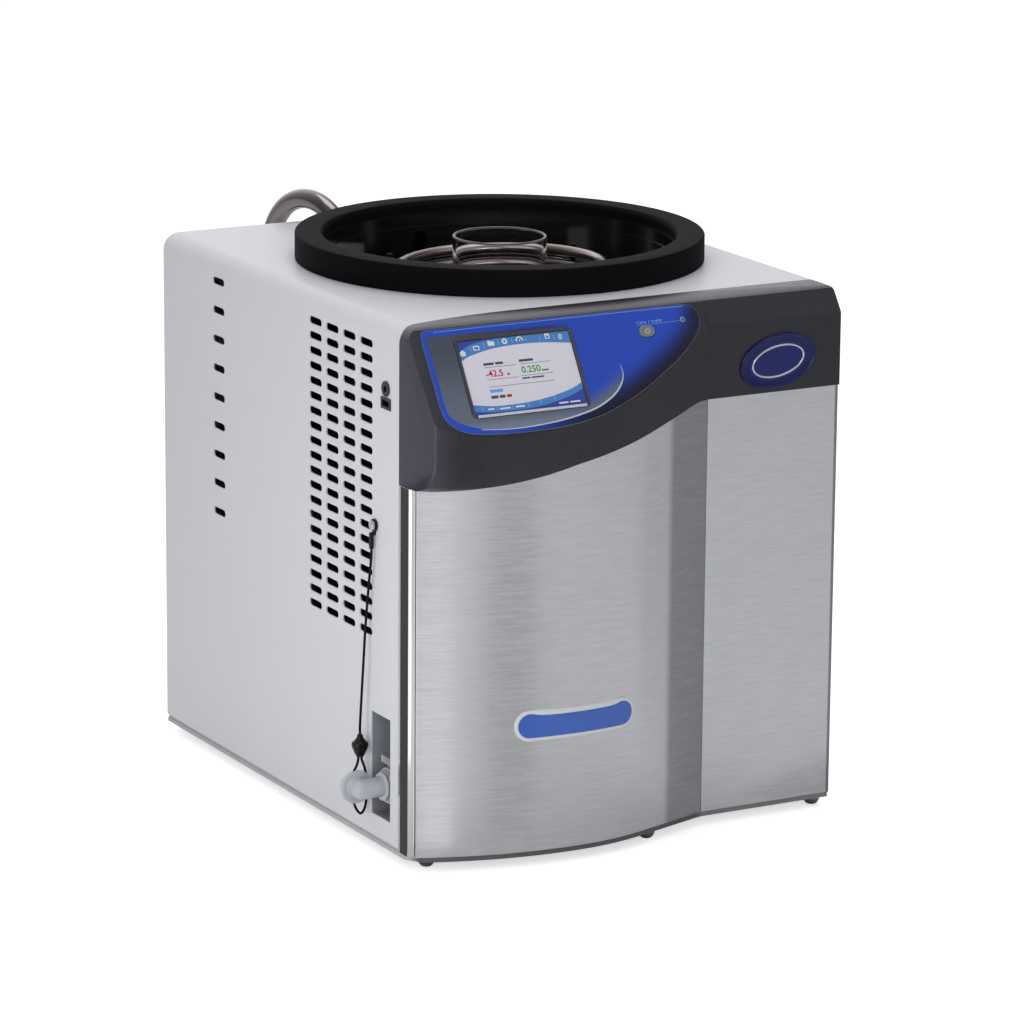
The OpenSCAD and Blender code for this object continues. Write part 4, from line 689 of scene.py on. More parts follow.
# %% The cold coil
COIL_R, COIL_D, COIL_PITCH, COIL_TURNS, COIL_TOP = 88.0, 9.5, 11.5, 12, 446.5
COIL_START, DOME_REACH, LEAST_R = math.radians(200), 5, 0.4
turn = np.linspace(0, COIL_TURNS, COIL_TURNS * 72 + 1)
angle = turn * 2 * np.pi + COIL_START
helix = np.stack([COL_X + COIL_R * np.cos(angle), COL_Y + COIL_R * np.sin(angle), COIL_TOP - turn * COIL_PITCH], -1)
from_end = np.minimum(turn, COIL_TURNS - turn) * 2 * np.pi * COIL_R
thick = COIL_D / 2 * np.sqrt(1 - (1 - np.clip(from_end / DOME_REACH, 0, 1)) ** 2)
coil = piece("coil_tube", *swept(helix, np.maximum(thick, LEAST_R), 14), "coil_steel", sharp=60)
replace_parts(coil, "collector_coil")
print("coil faces", len(coil.data.polygons))

# %% [markdown]
# ## The baffle
# A clear plastic tube stands in the middle of the coil, so that vapour has to
# pass down the outside. A cut and polished rim looks darker and less clear than
# the wall under it, so the rim is a ring of its own in a frosted finish.

# %% The baffle
baffle_low, baffle_top = (corner.z * 1000 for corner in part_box("baffle_tube"))
WALL_R, BORE_R, BAFFLE_STEPS = 40, 37.5, 128
BAFFLE = [(39, baffle_low), (WALL_R, baffle_low + 0.6), (WALL_R, baffle_top - 1.6), (BORE_R, baffle_top - 1.6),
          (BORE_R, baffle_low + 0.6), (38.4, baffle_low), (39, baffle_low)]
baffle = piece("baffle_wall", *turned(BAFFLE, (COL_X, COL_Y, 0), steps=BAFFLE_STEPS), "baffle_clear", sharp=70)
RIM = [(WALL_R, baffle_top - 1.5), (WALL_R, baffle_top - 0.5), (39.4, baffle_top), (38.1, baffle_top),
       (BORE_R, baffle_top - 0.5), (BORE_R, baffle_top - 1.5), (WALL_R, baffle_top - 1.5)]
piece("baffle_rim", *turned(rounded(RIM, 0.3), (COL_X, COL_Y, 0), steps=BAFFLE_STEPS), "rim_clear", sharp=40)
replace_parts(baffle, "baffle_tube")
print("baffle from", round(baffle_low, 1), "to", round(baffle_top, 1), "mm")

# %% [markdown]
# ## The bent vacuum tube
# The tube leaves the roof, turns over the rear edge in a half circle and ends
# behind the cabinet, where the pump's hose slips on. One path gives both its
# outer and inner walls, so its open end shows a real bore.

# %% The bent vacuum tube
TUBE_X, TUBE_Y, TUBE_Z = 137.0, 454.99, 418.5
TUBE_BEND, TUBE_R, TUBE_WALL, TUBE_TURN = 50.0, 8.7, 1.5, math.radians(105)
TUBE_SIDES, BEND_STEPS = 40, 96
# Each straight run: its first and last height from the bend's middle, and how
# many points it has.
ROOF_RUN, FREE_RUN = (-18, -2, 6), (-3, -46, 14)
half = np.linspace(0, np.pi, BEND_STEPS + 1)
away = TUBE_BEND * np.concatenate([np.full(ROOF_RUN[2], -1.0), -np.cos(half), np.full(FREE_RUN[2], 1.0)])
rise = np.concatenate([np.linspace(*ROOF_RUN), TUBE_BEND * np.sin(half), np.linspace(*FREE_RUN)])
toward = np.array([math.cos(TUBE_TURN), math.sin(TUBE_TURN)])
tube_path = np.column_stack([(TUBE_X, TUBE_Y) + away[:, None] * toward, TUBE_Z + rise])
across = (-toward[1], toward[0], 0)
outer, _ = swept(tube_path, TUBE_R, TUBE_SIDES, across)
inner, _ = swept(tube_path, TUBE_R - TUBE_WALL, TUBE_SIDES, across)
walls = np.concatenate([outer, inner.reshape(-1, TUBE_SIDES, 3)[::-1].reshape(-1, 3)])
tube = piece("vacuum_bend", walls, grid_faces(2 * len(tube_path), TUBE_SIDES, loop=True), "tube_steel", sharp=50)
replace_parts(tube, "vacuum_tube")
print("tube path", round(travelled(tube_path)[-1]), "mm")

# %% [markdown]
# ## Flat plates
# Films, prints, plates and glass are all flat shapes with a small thickness.
# A constrained triangulation fills any outline, with its holes, and a grid of
# points inside it lets the plate bend or carry a smooth change of colour.

# %% Flat plates
CLEAR_SHARE, SAME_POINT, FOLD_MIDDLE, DISTANCE_PARTS = 0.55, 1e-6, 0.3, 16


def inside(points, loops):
    """True where a flat point is within the first loop and outside the others,
    which are holes. A ray to the right crosses the sides of a loop round the
    point an odd number of times."""
    x, y = points[:, :1], points[:, 1:]

    def within(loop):
        a, b = loop, np.roll(loop, -1, 0)
        spans = (a[:, 1] > y) != (b[:, 1] > y)
        rise = np.where(b[:, 1] == a[:, 1], 1e-9, b[:, 1] - a[:, 1])
        return (spans & (x < a[:, 0] + (y - a[:, 1]) * (b[:, 0] - a[:, 0]) / rise)).sum(1) % 2 == 1

    keep = within(loops[0])
    for hole in loops[1:]:
        keep &= ~within(hole)
    return keep


def distance(points, line):
    """The distance from each flat point to the nearest point of a line."""
    parts = np.array_split(points, DISTANCE_PARTS)
    return np.concatenate([np.linalg.norm(part[:, None] - line[None], axis=2).min(1) for part in parts])


def triangles(loops, fill=0.0):
    """Points and triangles of an outline with holes. With fill, a grid of
    points that far apart is added where it keeps clear of every edge."""
    points = np.concatenate(loops)
    if fill:
        low, high = loops[0].min(0), loops[0].max(0)
        grid = np.meshgrid(np.arange(low[0], high[0], fill), np.arange(low[1], high[1], fill))
        grid = np.stack(grid, -1).reshape(-1, 2)
        grid = grid[inside(grid, loops)]
        points = np.concatenate([points, grid[distance(grid, points) > fill * CLEAR_SHARE]])
    starts = np.cumsum([0] + [len(loop) for loop in loops])
    rims = [list(range(a, b)) for a, b in zip(starts[:-1], starts[1:])]
    found, _, faces, *_ = delaunay_2d_cdt([Vector(p) for p in points.tolist()], [], rims, 1, SAME_POINT)
    if len(found) != len(points):
        raise ValueError("an outline touches itself")
    faces = np.array(list(faces))
    return points, faces[inside(points[faces].mean(1), loops)]


def wound(loop):
    """The loop, turned so that it runs anticlockwise."""
    loop = np.asarray(loop, float)
    area = np.sum(loop[:, 0] * np.roll(loop[:, 1], -1) - np.roll(loop[:, 0], -1) * loop[:, 1])
    return loop if area > 0 else loop[::-1]


def drawn_in(loop, by):
    """The loop moved inwards: each point goes along the mean of its two sides'
    inward normals."""
    loop = wound(loop)
    ahead = np.roll(loop, -1, 0) - np.roll(loop, 1, 0)
    inward = np.stack([-ahead[:, 1], ahead[:, 0]], -1)
    return loop + by * inward / (np.linalg.norm(inward, axis=1)[:, None] + 1e-12)


def plate(outline, low, high, holes=(), fold=0.0, fill=0.0):
    """A flat plate between two heights, with holes: triangles above, triangles
    below, and quads between them along each loop. fold rounds the top edge."""
    loops = [wound(outline), *[wound(hole) for hole in holes]]
    top_loops = [drawn_in(loops[0], fold) if fold else loops[0], *loops[1:]]
    top, top_faces = triangles(top_loops, fill)
    base, base_faces = triangles(loops, fill)
    parts = [np.column_stack([top, np.full(len(top), high)]), np.column_stack([base, np.full(len(base), low)])]
    faces = top_faces.tolist() + (base_faces[:, ::-1] + len(top)).tolist()
    edges = np.cumsum([0] + [len(loop) for loop in loops])
    for number, (a, b) in enumerate(zip(edges[:-1], edges[1:])):
        upper = np.arange(a, b)
        rows = [upper + len(top), upper]
        if fold and number == 0:
            first = len(top) + len(base) + np.arange(b - a)
            parts += [np.column_stack([loops[0], np.full(b - a, high - fold)]),
                      np.column_stack([drawn_in(loops[0], fold * FOLD_MIDDLE),
                                       np.full(b - a, high - fold * FOLD_MIDDLE)])]
            rows[1:1] = [first, first + (b - a)]
        for below, above in zip(rows[:-1], rows[1:]):
            quads = np.stack([below, np.roll(below, -1), np.roll(above, -1), above], -1)
            faces += (quads if number == 0 else quads[:, ::-1]).tolist()
    return np.concatenate(parts), faces


print("a square is", len(triangles([wound([(0, 0), (1, 0), (1, 1), (0, 1)])])[1]), "triangles")

# %% [markdown]
# ## Outlines
# A plate needs an outline. A line of print is the band that its middle line
# sweeps out, a window is a rounded rectangle, and a free shape is a smooth
# curve through a few points. Loops of one count can also be stacked at several
# heights, which gives a moulded frame its rounded shoulders.

# %% Outlines
def band(path, width):
    """The outline swept by a middle line of that width, which may change along
    it: half of the width to the left all the way, and back on the right."""
    path = np.asarray(path, float)
    ahead = np.gradient(path, axis=0)
    left = np.stack([-ahead[:, 1], ahead[:, 0]], -1) / np.linalg.norm(ahead, axis=1)[:, None]
    half = np.broadcast_to(width, len(path))[:, None] / 2
    return np.concatenate([path + left * half, (path - left * half)[::-1]])


def box_loop(width, height, radius, centre=(0, 0), steps=8):
    """A rounded rectangle: a quarter circle about each of four middles, each a
    right angle on from the one before."""
    angle = np.linspace(0, np.pi / 2, steps + 1)
    quarter = np.stack([np.cos(angle), np.sin(angle)], -1) * radius
    quarters = []
    for across, up in ((1, 1), (-1, 1), (-1, -1), (1, -1)):
        quarters.append(quarter + (across * (width / 2 - radius), up * (height / 2 - radius)))
        quarter = quarter @ [[0, 1], [-1, 0]]
    return np.concatenate(quarters) + centre


def oval_loop(width, height, centre=(0, 0), steps=72):
    """An ellipse: cosine across, sine up."""
    angle = np.arange(steps) * 2 * np.pi / steps
    return np.stack([width / 2 * np.cos(angle), height / 2 * np.sin(angle)], -1) + centre


def stacked(rings, caps=True):
    """Points and faces of loops with one point count, each at its own height,
    joined in order. caps closes both ends; without them the last ring joins
    the first."""
    n = len(rings[0][0])
    points = np.concatenate([np.column_stack([loop, np.full(n, h)]) for loop, h in rings])
    return points, tube_faces(len(rings), n) if caps else grid_faces(len(rings), n, loop=True).tolist()


def curve(points, step, closed=False):
    """A smooth flat curve through the points. A closed one is drawn through
    the points three times over, and its middle round is kept."""
    points = np.asarray(points, float)
    if not closed:
        return along(points, step)
    fine = 8
    dense = along(np.concatenate([points, points, points, points[:1]]), step / fine)
    gap = np.linalg.norm(dense - points[0], axis=1)
    third = len(dense) // 3
    start, end = (k + np.argmin(gap[k:k + 2 * (third // 2)]) for k in (third - third // 2, 2 * third - third // 2))
    return dense[start:end - fine // 2:fine]


print("an oval plate of", len(plate(oval_loop(10, 6), 0, 1, fill=1)[0]), "points")

# %% [markdown]
# ## Print colours
# Prints are thin glossy inks, and the film under them fades from one blue to
# another. Where a colour fades, each point of the mesh holds its own colour,
# and the material reads it from the mesh.

# %% Print colours
INKS = {"dark_blue": (0.030, 0.065, 0.40), "light_blue": (0.070, 0.25, 0.60), "sky": (0.16, 0.40, 0.85),
        "white": (0.80, 0.82, 0.85), "red": (0.50, 0.015, 0.055), "green": (0.040, 0.36, 0.035),
        "slate": (0.065, 0.075, 0.13), "silver": (0.62, 0.64, 0.70)}
INK_GRAIN = dict(size=0.4, tint=0.03, swing=0.04, bump=0.04, depth=0.01, cloud=0.02)
for name, colour in INKS.items():
    materials["ink_" + name] = finish("ink_" + name, colour, 0.25, **INK_GRAIN)
# A light grey for the raised lip round the film: partly its own colour, partly a painted highlight along that edge.
materials["rim_grey_painted_highlight"] = finish("rim_grey_painted_highlight", (0.11, 0.115, 0.13), 0.3, **INK_GRAIN)


def painted(obj, name, colours):
    """Stores a colour for each vertex, and gives the piece a finish of its own
    that shows it."""
    store = obj.data.attributes.new("paint", "FLOAT_COLOR", "POINT")
    store.data.foreach_set("color", np.column_stack([colours, np.ones(len(colours))]).astype(np.float32).ravel())
    obj.data.materials[0] = finish(name, (0.5, 0.5, 0.5), 0.28, 1.2, bump=0.05, shine=0.3, tint=0.02, cloud=0.02,
                                   paint=True)


def blend(low, high, value):
    """0 below low, 1 above high, and a smooth S between."""
    t = np.clip((value - low) / (high - low), 0, 1)
    return t * t * (3 - 2 * t)


def mixed(a, b, share):
    """One colour to another by share."""
    return np.asarray(a) * (1 - share[:, None]) + np.asarray(b) * share[:, None]


print("inks", list(INKS))

# %% [markdown]
# ## The control pod
# The moulding is dark, finely grained and soft at every edge. Its form is the
# solid model's: a skin is taken from it, and the bevel gives each edge the
# small radius that a mould needs, which is where light gathers.

# %% The control pod
pod = skin("control_pod", 1.4, steps=3)
skin("fascia_right", 1.0)
print("pod faces", len(pod.data.polygons))

# %% [markdown]
# ## The overlay film
# One printed film covers the slope. It is royal blue and runs to navy along its
# lower right edge. The outline is a smooth curve through measured corners, with
# three windows cut in it, and the fade is a blend by the distance from an edge.

# %% The overlay film
OUTLINE = [(19, -1.5), (13.4, -3.4), (12.3, -9), (12.5, -30), (13, -52), (13.4, -68), (15.8, -77.5), (22.5, -84.6),
           (32, -89.3), (44, -91.8), (62, -93.2), (84, -93.8), (110, -93.2), (132, -91.2), (152, -87.6), (170, -81.9),
           (188, -74.6), (206, -65.6), (222, -56.2), (238, -46.4), (253, -34.6), (262.5, -24.2), (266.2, -15),
           (264.4, -6.4), (257, -1.9), (240, -1.3), (220, -1.3), (120, -1.3), (60, -1.4)]
DISPLAY, SWITCH, LIGHT = (93, -44.5), (214.8, -21), (250.6, -14.2)
BLUE, NAVY = (0.022, 0.074, 0.53), (0.006, 0.007, 0.030)
# Navy fills a strip along the edge: how far in it fades, and where it starts
# along the machine. The edge is the outline below and right of one corner.
FADE_IN, FADE_ALONG, EDGE_CORNER = (3, 26), (58, 150), (50, -12)


def slope_flat(obj):
    """A piece's vertices as (u, v) on the slope, worked back from the frame's
    metres to cabinet millimetres. v is measured along the slope."""
    points = np.empty(len(obj.data.vertices) * 3)
    obj.data.vertices.foreach_get("co", points)
    points = (points.reshape(-1, 3) - place([0, 0, 0])) * 1000
    rise = (points - (0, RIDGE_Y, RIDGE_Z)) @ np.array([0, math.cos(SLOPE), math.sin(SLOPE)])
    return np.stack([points[:, 0], rise], -1)


outline = curve(OUTLINE, 3, closed=True)
openings = [box_loop(107.9, 68.9, 5.2, DISPLAY), box_loop(15.4, 10.6, 5.2, SWITCH), oval_loop(4.6, 4.6, LIGHT, 32)]
film = laid("overlay_film", plate(outline, 0.0, 0.8, openings, fold=0.3, fill=2.4), on_slope, "overlay_print", sharp=50)
flat = slope_flat(film)
edge = distance(flat, outline[(outline[:, 1] < EDGE_CORNER[1]) & (outline[:, 0] > EDGE_CORNER[0])])
share = (1 - blend(*FADE_IN, edge)) * blend(*FADE_ALONG, flat[:, 0])
painted(film, "overlay_fade", mixed(BLUE, NAVY, share))
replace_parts(film, "control_overlay")
print("film points", len(film.data.vertices))

# %% [markdown]
# ## The slate field
# Round the display the film is printed slate, darker at the top, and on its
# right this fades into the blue. A silver line runs along its lower edge. The
# field is a second thin plate on the film, and the fade is again a blend of
# colours by distance, stored in the mesh.

# %% The slate field
SILVER = [(44, -88.2), (66, -90), (90, -89.9), (120, -87.3), (146, -82.2), (160, -77), (171, -70.6), (179, -62.8),
          (182.8, -55), (182.4, -46.5)]
FIELD = [(16.2, -6.7), (17, -40), (17.6, -66), (19.4, -74), (26, -80.2), (36, -84.8), (47, -88.2)]
FIELD_BACK = [(184, -46), (187.5, -38), (182, -27), (171, -16), (156, -8.6), (140, -6.4)]
# The silver line's width at four shares of its length.
SILVER_SHARES, SILVER_WIDTHS = [0, 0.55, 0.86, 1], [0.4, 1.3, 1.4, 0.3]
SLATE_TOP, SLATE_LOW = (0.072, 0.082, 0.118), (0.135, 0.165, 0.215)
SLATE_FOOT, SLATE_RIM = (0.19, 0.235, 0.32), (0.030, 0.040, 0.090)
silver = curve(SILVER, 2)
field_loop = np.concatenate([curve(FIELD, 3), silver[1:], curve(FIELD_BACK, 3)[1:]])
field = laid("display_field", plate(field_loop, 0.7, 0.84, openings[:1], fill=2.4), on_slope, "overlay_print", sharp=50)
flat = slope_flat(field)
u, v = flat.T
# Each blend names the two places, along u or v in millimetres, that it runs
# between: down the field, over its foot, and along its upper rim.
slate = mixed(mixed(SLATE_TOP, SLATE_LOW, blend(-14, -78, v)), SLATE_FOOT, blend(-80, -88, v))
slate = mixed(slate, SLATE_RIM, blend(-12, -9, v) * blend(40, 100, u))
beside = (1 - blend(1.0, 14, distance(flat, silver))) * blend(-48, -68, v)
painted(field, "field_fade", mixed(BLUE, slate, np.maximum(1 - blend(118, 150, u), beside)))

silver_width = np.interp(np.linspace(0, 1, len(silver)), SILVER_SHARES, SILVER_WIDTHS)
faint = curve([(156, -8.2), (172.6, -16.4), (183.6, -27.6), (188, -40)], 2)
top = [(24, -3.2), (60, -2.9), (150, -2.7), (236, -2.6), (254, -2.9)]
laid("silver_line", plate(band(silver, silver_width), 0.7, 0.90), on_slope, "ink_silver")
laid("top_line", plate(band(top, 0.5), 0.7, 0.86), on_slope, "ink_sky")
laid("faint_line", plate(band(faint, 0.35), 0.7, 0.86), on_slope, "ink_slate")
# A raised lip round the film, in a light grey that paints a highlight along its edge.
laid("overlay_rim_painted_highlight", plate(drawn_in(outline, -0.55), 0.0, 0.62, [drawn_in(outline, 0.02)], fold=0.2), on_slope,
     "rim_grey_painted_highlight", sharp=60)
print("field points", len(field.data.vertices))

# %% [markdown]
# ## The display
# The bezel is a dark moulded frame with rounded shoulders, and a bright silver
# strip lies on its lower bar: a painted highlight, where the lower inner bevel
# catches the light. The frame is one rounded rectangle, drawn in at eight
# heights. The glass stands just under it and has a thin black border. Figures
# come from the outline font that Blender carries, so they stay sharp at any distance.

# %% The display
GLASS, PRINT_FOOT, PRINT_STEP = 0.6, 0.05, 0.02
FIGURE_DEPTH, FIGURE_STEPS, FIGURE_BOLD = 0.05, 4, 0.018
du, dv = DISPLAY
# Each row of the bezel: how far it is drawn in, its corner radius, its height.
BEZEL = [(0, 5, 0.05), (0, 5, 1.2), (0.3, 4.7, 1.75), (0.9, 4.1, 2.0), (1.7, 3.4, 1.95), (2.3, 2.8, 1.5),
         (2.6, 2.5, 0.9), (2.6, 2.5, 0.05)]
bezel_rings = [(box_loop(107.5 - 2 * inset, 68.5 - 2 * inset, radius, DISPLAY, steps=10), height)
               for inset, radius, height in BEZEL]
bezel = laid("bezel_frame", stacked(bezel_rings, caps=False), on_slope, "bezel_dark")
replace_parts(bezel, "display_bezel")
# A bright silver strip along the bezel's lower bar: a painted highlight where the lower inner bevel catches the light.
painted_highlight_line = band([(du + across, dv - 33.0) for across in (-49.5, -25, 25, 49.5)], 2.3)
laid("bezel_painted_highlight", plate(painted_highlight_line, 1.6, 2.12, fold=0.25), on_slope, "ink_silver")
pane = box_loop(102.2, 63.2, 2.4, DISPLAY)
glass = laid("screen_glass", plate(pane, -0.6, GLASS, fold=0.1), on_slope, "screen")
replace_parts(glass, "display_glass")
laid("screen_border", plate(pane, GLASS - PRINT_FOOT, GLASS + 0.1, [box_loop(101.2, 62.2, 0.8, DISPLAY)]), on_slope,
     "socket_black")


def words(text, at, height, thick, tight=1.0):
    """Plain figures as points and faces: the outline font's mesh is scaled to
    the height, narrowed or widened by tight, and its lower left corner is put
    at the point."""
    data = bpy.data.curves.new("figures", "FONT")
    data.body = text
    data.extrude = FIGURE_DEPTH
    data.resolution_u = FIGURE_STEPS
    data.offset = FIGURE_BOLD
    holder = bpy.data.objects.new("figures", data)
    scene.collection.objects.link(holder)
    bpy.context.view_layer.update()
    mesh = bpy.data.meshes.new_from_object(holder.evaluated_get(bpy.context.evaluated_depsgraph_get()))
    bpy.data.objects.remove(holder)
    bpy.data.curves.remove(data)
    points = np.empty(len(mesh.vertices) * 3)
    mesh.vertices.foreach_get("co", points)
    points = points.reshape(-1, 3)
    faces = [list(face.vertices) for face in mesh.polygons]
    bpy.data.meshes.remove(mesh)
    low, high = points.min(0), points.max(0)
    scale = height / (high[1] - low[1])
    flat = (points[:, :2] - low[:2]) * (scale * tight, scale)
    return np.column_stack([flat + at, np.where(points[:, 2] > 0, thick[1], thick[0])]), faces


def shape(loop, level, holes=()):
    """A thin print on the glass. level sets which print lies over which."""
    return plate(loop, GLASS - PRINT_FOOT, GLASS + PRINT_STEP + PRINT_STEP * level, holes)


def bars(rows, level=2):
    """Short bars in place of words, from rows of left end, right end, middle
    height and thickness."""
    return [shape(box_loop(b - a, high, min(high, b - a) * 0.25, ((a + b) / 2, v), 3), level) for a, b, v, high in rows]


print("display at", DISPLAY)

# %% [markdown]
# ## What the screen shows
# The screen is on, so it must not be blank. A pale page lies under a curved
# band and over another, with plain signs along the top, bars in place of words
# and two plain numbers. Each is a print a few hundredths of a millimetre thick,
# and its level says which lies over which.

# %% What the screen shows
left_u, right_u, top_v, low_v = du - 50.8, du + 50.8, dv + 31.3, dv - 31.3


def page_edge(points, corners, level):
    """A field of colour between a curve across the screen and some corners."""
    return shape(np.concatenate([curve(points, 2), corners]), level)


top_corners, low_corners = [(right_u, top_v), (left_u, top_v)], [(right_u, low_v), (left_u, low_v)]
PAGE_TOP = [(left_u, -29.6), (52.2, -25.7), (75, -21.4), (100.8, -20.3), (123, -21.3), (right_u, -23.8)]
BAND_LOW = [(left_u, -67), (61.3, -69.7), (86.8, -69.7), (109.8, -67.4), (132.1, -62.5), (right_u, -57.8)]
CORNER_TOP = [(left_u, -24), (48.7, -18.6), (60.8, -15.2), (80, top_v)]
DARK_LOW = [(left_u, -72.8), (59.9, -74.7), (85.3, -74.8), (108.2, -73), (130.6, -67.9), (right_u, -62.8)]
light_blue = join(page_edge(PAGE_TOP, top_corners, 0), page_edge(BAND_LOW, low_corners, 0))
laid("screen_light_blue", light_blue, on_slope, "ink_light_blue")
dark_line = shape(band([(left_u, -25.9), (46.5, -23.6), (51, -22.2)], 0.5), 1)
dark_blue = join(page_edge(CORNER_TOP, [(left_u, top_v)], 1), page_edge(DARK_LOW, low_corners, 1), dark_line)
laid("screen_dark_blue", dark_blue, on_slope, "ink_dark_blue")

HOUSE = np.array([(42.7, -25.6), (47.5, -25.6), (47.5, -23), (48.3, -23), (45.1, -20.3), (41.9, -23), (42.7, -23)])
FOLDER = np.array([(69.2, -19.3), (75.2, -19.3), (75.2, -15.6), (72.3, -15.6), (71.5, -14.8), (69.2, -14.8)])
DIAL = [(95.2, -17.6), (96, -15.4), (98.2, -14.3), (100.4, -15.4), (101.2, -17.6)]
TOP_TICKS = [(53, -20), (65.6, -18), (78.8, -17), (91.6, -16.4), (104.1, -16.4), (116.8, -16.8), (129.5, -17.4)]
LOW_TICKS = [(50.1, -70.9), (62.9, -71.9), (77, -72.1), (91, -71.7), (102.7, -70.4), (116, -68)]
LOW_BARS = [(54.4, 5.6, -71.9), (65, 9.6, -72.4), (79.4, 8.2, -72.2), (118.6, 8.6, -73.2), (128.8, 9.4, -73.2)]
marks = [
    shape(HOUSE, 2), shape(box_loop(5.6, 4.0, 0.5, (58.2, -19.9), 3), 2, [box_loop(3.9, 2.3, 0.2, (58.2, -20.1), 3)]),
    shape(FOLDER, 2), shape(oval_loop(5.0, 5.0, (84.7, -16.6), 24), 2, [oval_loop(2.1, 2.1, (84.7, -16.6), 24)]),
    shape(band(curve(DIAL, 0.6), 1.1), 2), shape(band([(98.1, -17.8), (98.6, -16.6), (99.0, -15.9)], 0.6), 2),
    shape(box_loop(4.4, 4.6, 0.6, (123.7, -16), 3), 2, [box_loop(2.6, 2.0, 0.2, (123.7, -16.6), 3)]),
    shape(oval_loop(3.4, 4.4, (135.3, -17.6), 24), 2, [oval_loop(1.6, 2.4, (135.3, -17.6), 24)])]
marks += bars([(u - 0.1, u + 0.1, v, 4.2) for u, v in TOP_TICKS], 1)
marks += bars([(u - 0.1, u + 0.1, v, 3.6) for u, v in LOW_TICKS], 1)
marks += bars([(u, u + w, v, 1.3) for u, w, v in LOW_BARS])
laid("screen_marks", join(*marks), on_slope, "ink_white")
laid("screen_rules", join(*bars([
    (60.2, 89.6, -37.1, 0.34), (60.4, 89.1, -47.5, 0.34), (92.9, 120.9, -37, 0.34), (91.8, 120.7, -47, 0.34),
    (60.3, 120.2, -53.6, 0.34), (60.5, 70, -34.3, 2.1), (71.2, 78.4, -34.3, 2.1), (92.8, 105.7, -34.2, 2.1),
    (91.9, 99.4, -49.2, 1.3), (100.4, 111.8, -49.2, 1.3), (60, 66.6, -62.3, 2.5), (67.6, 72.9, -62.3, 2.5)])),
    on_slope, "ink_slate")
laid("screen_status_bar", *bars([(60.2, 72, -57.2, 2.7)]), on_slope, "ink_sky")
above = (GLASS - 0.02, GLASS + 0.06)
red = join(words("-42.5", (60.5, -45.4), 5.8, above), *bars([(79.6, 82, -44.2, 1.6), (74.2, 78.6, -62.3, 2.5)]))
green = join(words("0.250", (93.1, -44.9), 5.8, above), *bars([(111, 117.4, -44, 1.4)]))
laid("screen_first_value", red, on_slope, "ink_red")
laid("screen_second_value", green, on_slope, "ink_green")
print("display marks", len(marks))

# %% [markdown]
# ## The switch
# The cap is a soft grey oval with a slightly hollow top and the sign for power:
# a ring with a gap and a short bar. Beside it a small lamp sits in a pale ring
# at the end of a fine line. The cap and its sign ride on the button's body.

# %% The switch
def slot_loop(width, height, inset=0.0, centre=(0, 0), steps=24):
    """A bar with round ends, drawn in by inset: a half circle at each end."""
    angle = np.radians(np.linspace(-90, 90, steps + 1))
    end = (height / 2 - inset) * np.stack([np.cos(angle), np.sin(angle)], -1) + ((width - height) / 2, 0)
    return np.concatenate([end, -end]) + centre


# Each row of the cap: how far it is drawn in, and its height.
CAP_RINGS = [(0.0, -3), (0.0, 1.3), (0.25, 1.8), (0.75, 2.08), (1.4, 2.2), (2.2, 2.14), (3.3, 2.02), (4.6, 1.98)]
cap_shape = stacked([(slot_loop(14.6, 9.8, inset, SWITCH), height) for inset, height in CAP_RINGS])
cap = laid("button_cap", cap_shape, on_slope, "button_grey", "button", sharp=60)
flange_shape = stacked([(slot_loop(17.6, 12.8, 0, SWITCH), height) for height in (-4.4, -3.3)])
laid("button_flange", flange_shape, on_slope, "button_grey", "button")
SIGN_R, SIGN_WIDTH, SIGN_FROM, SIGN_TO = 1.95, 0.55, 130, 410
open_arc = np.radians(np.linspace(SIGN_FROM, SIGN_TO, 29))
ring = np.stack([SIGN_R * np.cos(open_arc), SIGN_R * np.sin(open_arc)], -1) + (SWITCH[0], SWITCH[1] - 0.2)
stroke = [(SWITCH[0], SWITCH[1] + up) for up in (0.2, 1.2, 2.2)]
sign = join(*[plate(band(line, SIGN_WIDTH), 1.9, 2.16) for line in (ring, stroke)])
laid("power_sign", sign, on_slope, "ink_silver", "button")
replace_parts(cap, "power_button")

LENS_RINGS = [(0.01, 0.5), (1.9, 0.5), (1.9, 0.9), (1.7, 1.3), (1.1, 1.7), (0.5, 1.85), (0.01, 1.9)]
lens_points, _ = turned(LENS_RINGS, (*LIGHT, 0), steps=40)
lens = laid("lamp_lens", (lens_points, tube_faces(len(LENS_RINGS), 40)), on_slope, "light_lens", sharp=60)
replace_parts(lens, "status_light")
lamp_ring = plate(oval_loop(4.4, 4.4, LIGHT, 40), 0.6, 1.0, [oval_loop(3.6, 3.6, LIGHT, 40)])
laid("lamp_ring", lamp_ring, on_slope, "ink_silver")
label = words("ON / OFF", (207.4, -14.5), 2.4, (0.7, 0.9), tight=1.75)
label_line = band([(207.2, -15.7), (220, -15.5), (235, -15.2), (248, -14.9)], 0.34)
laid("switch_label", join(label, plate(label_line, 0.7, 0.88)), on_slope, "ink_sky")
print("cap rings", len(CAP_RINGS))

# %% [markdown]
# ## The badge and the name plate
# The badge is a shallow oval dish, turned to follow the slope's end, with a
# smooth field and one plain raised ring. The name plate is bare: a blue field
# inside a white border, bent to the bow.

# %% The badge and the name plate
BADGE = (340.0, 392.25)
BADGE_TILT = math.radians(9.7)


def on_badge(points):
    """(a, b, out) to the cabinet: a and b across the flat fascia, turned by the
    badge's tilt, and out is the distance in front of it."""
    a, b, out = np.asarray(points, float).T
    x = BADGE[0] + a * math.cos(BADGE_TILT) - b * math.sin(BADGE_TILT)
    z = BADGE[1] + a * math.sin(BADGE_TILT) + b * math.cos(BADGE_TILT)
    return np.stack([x, -2.0 - out, z], -1)


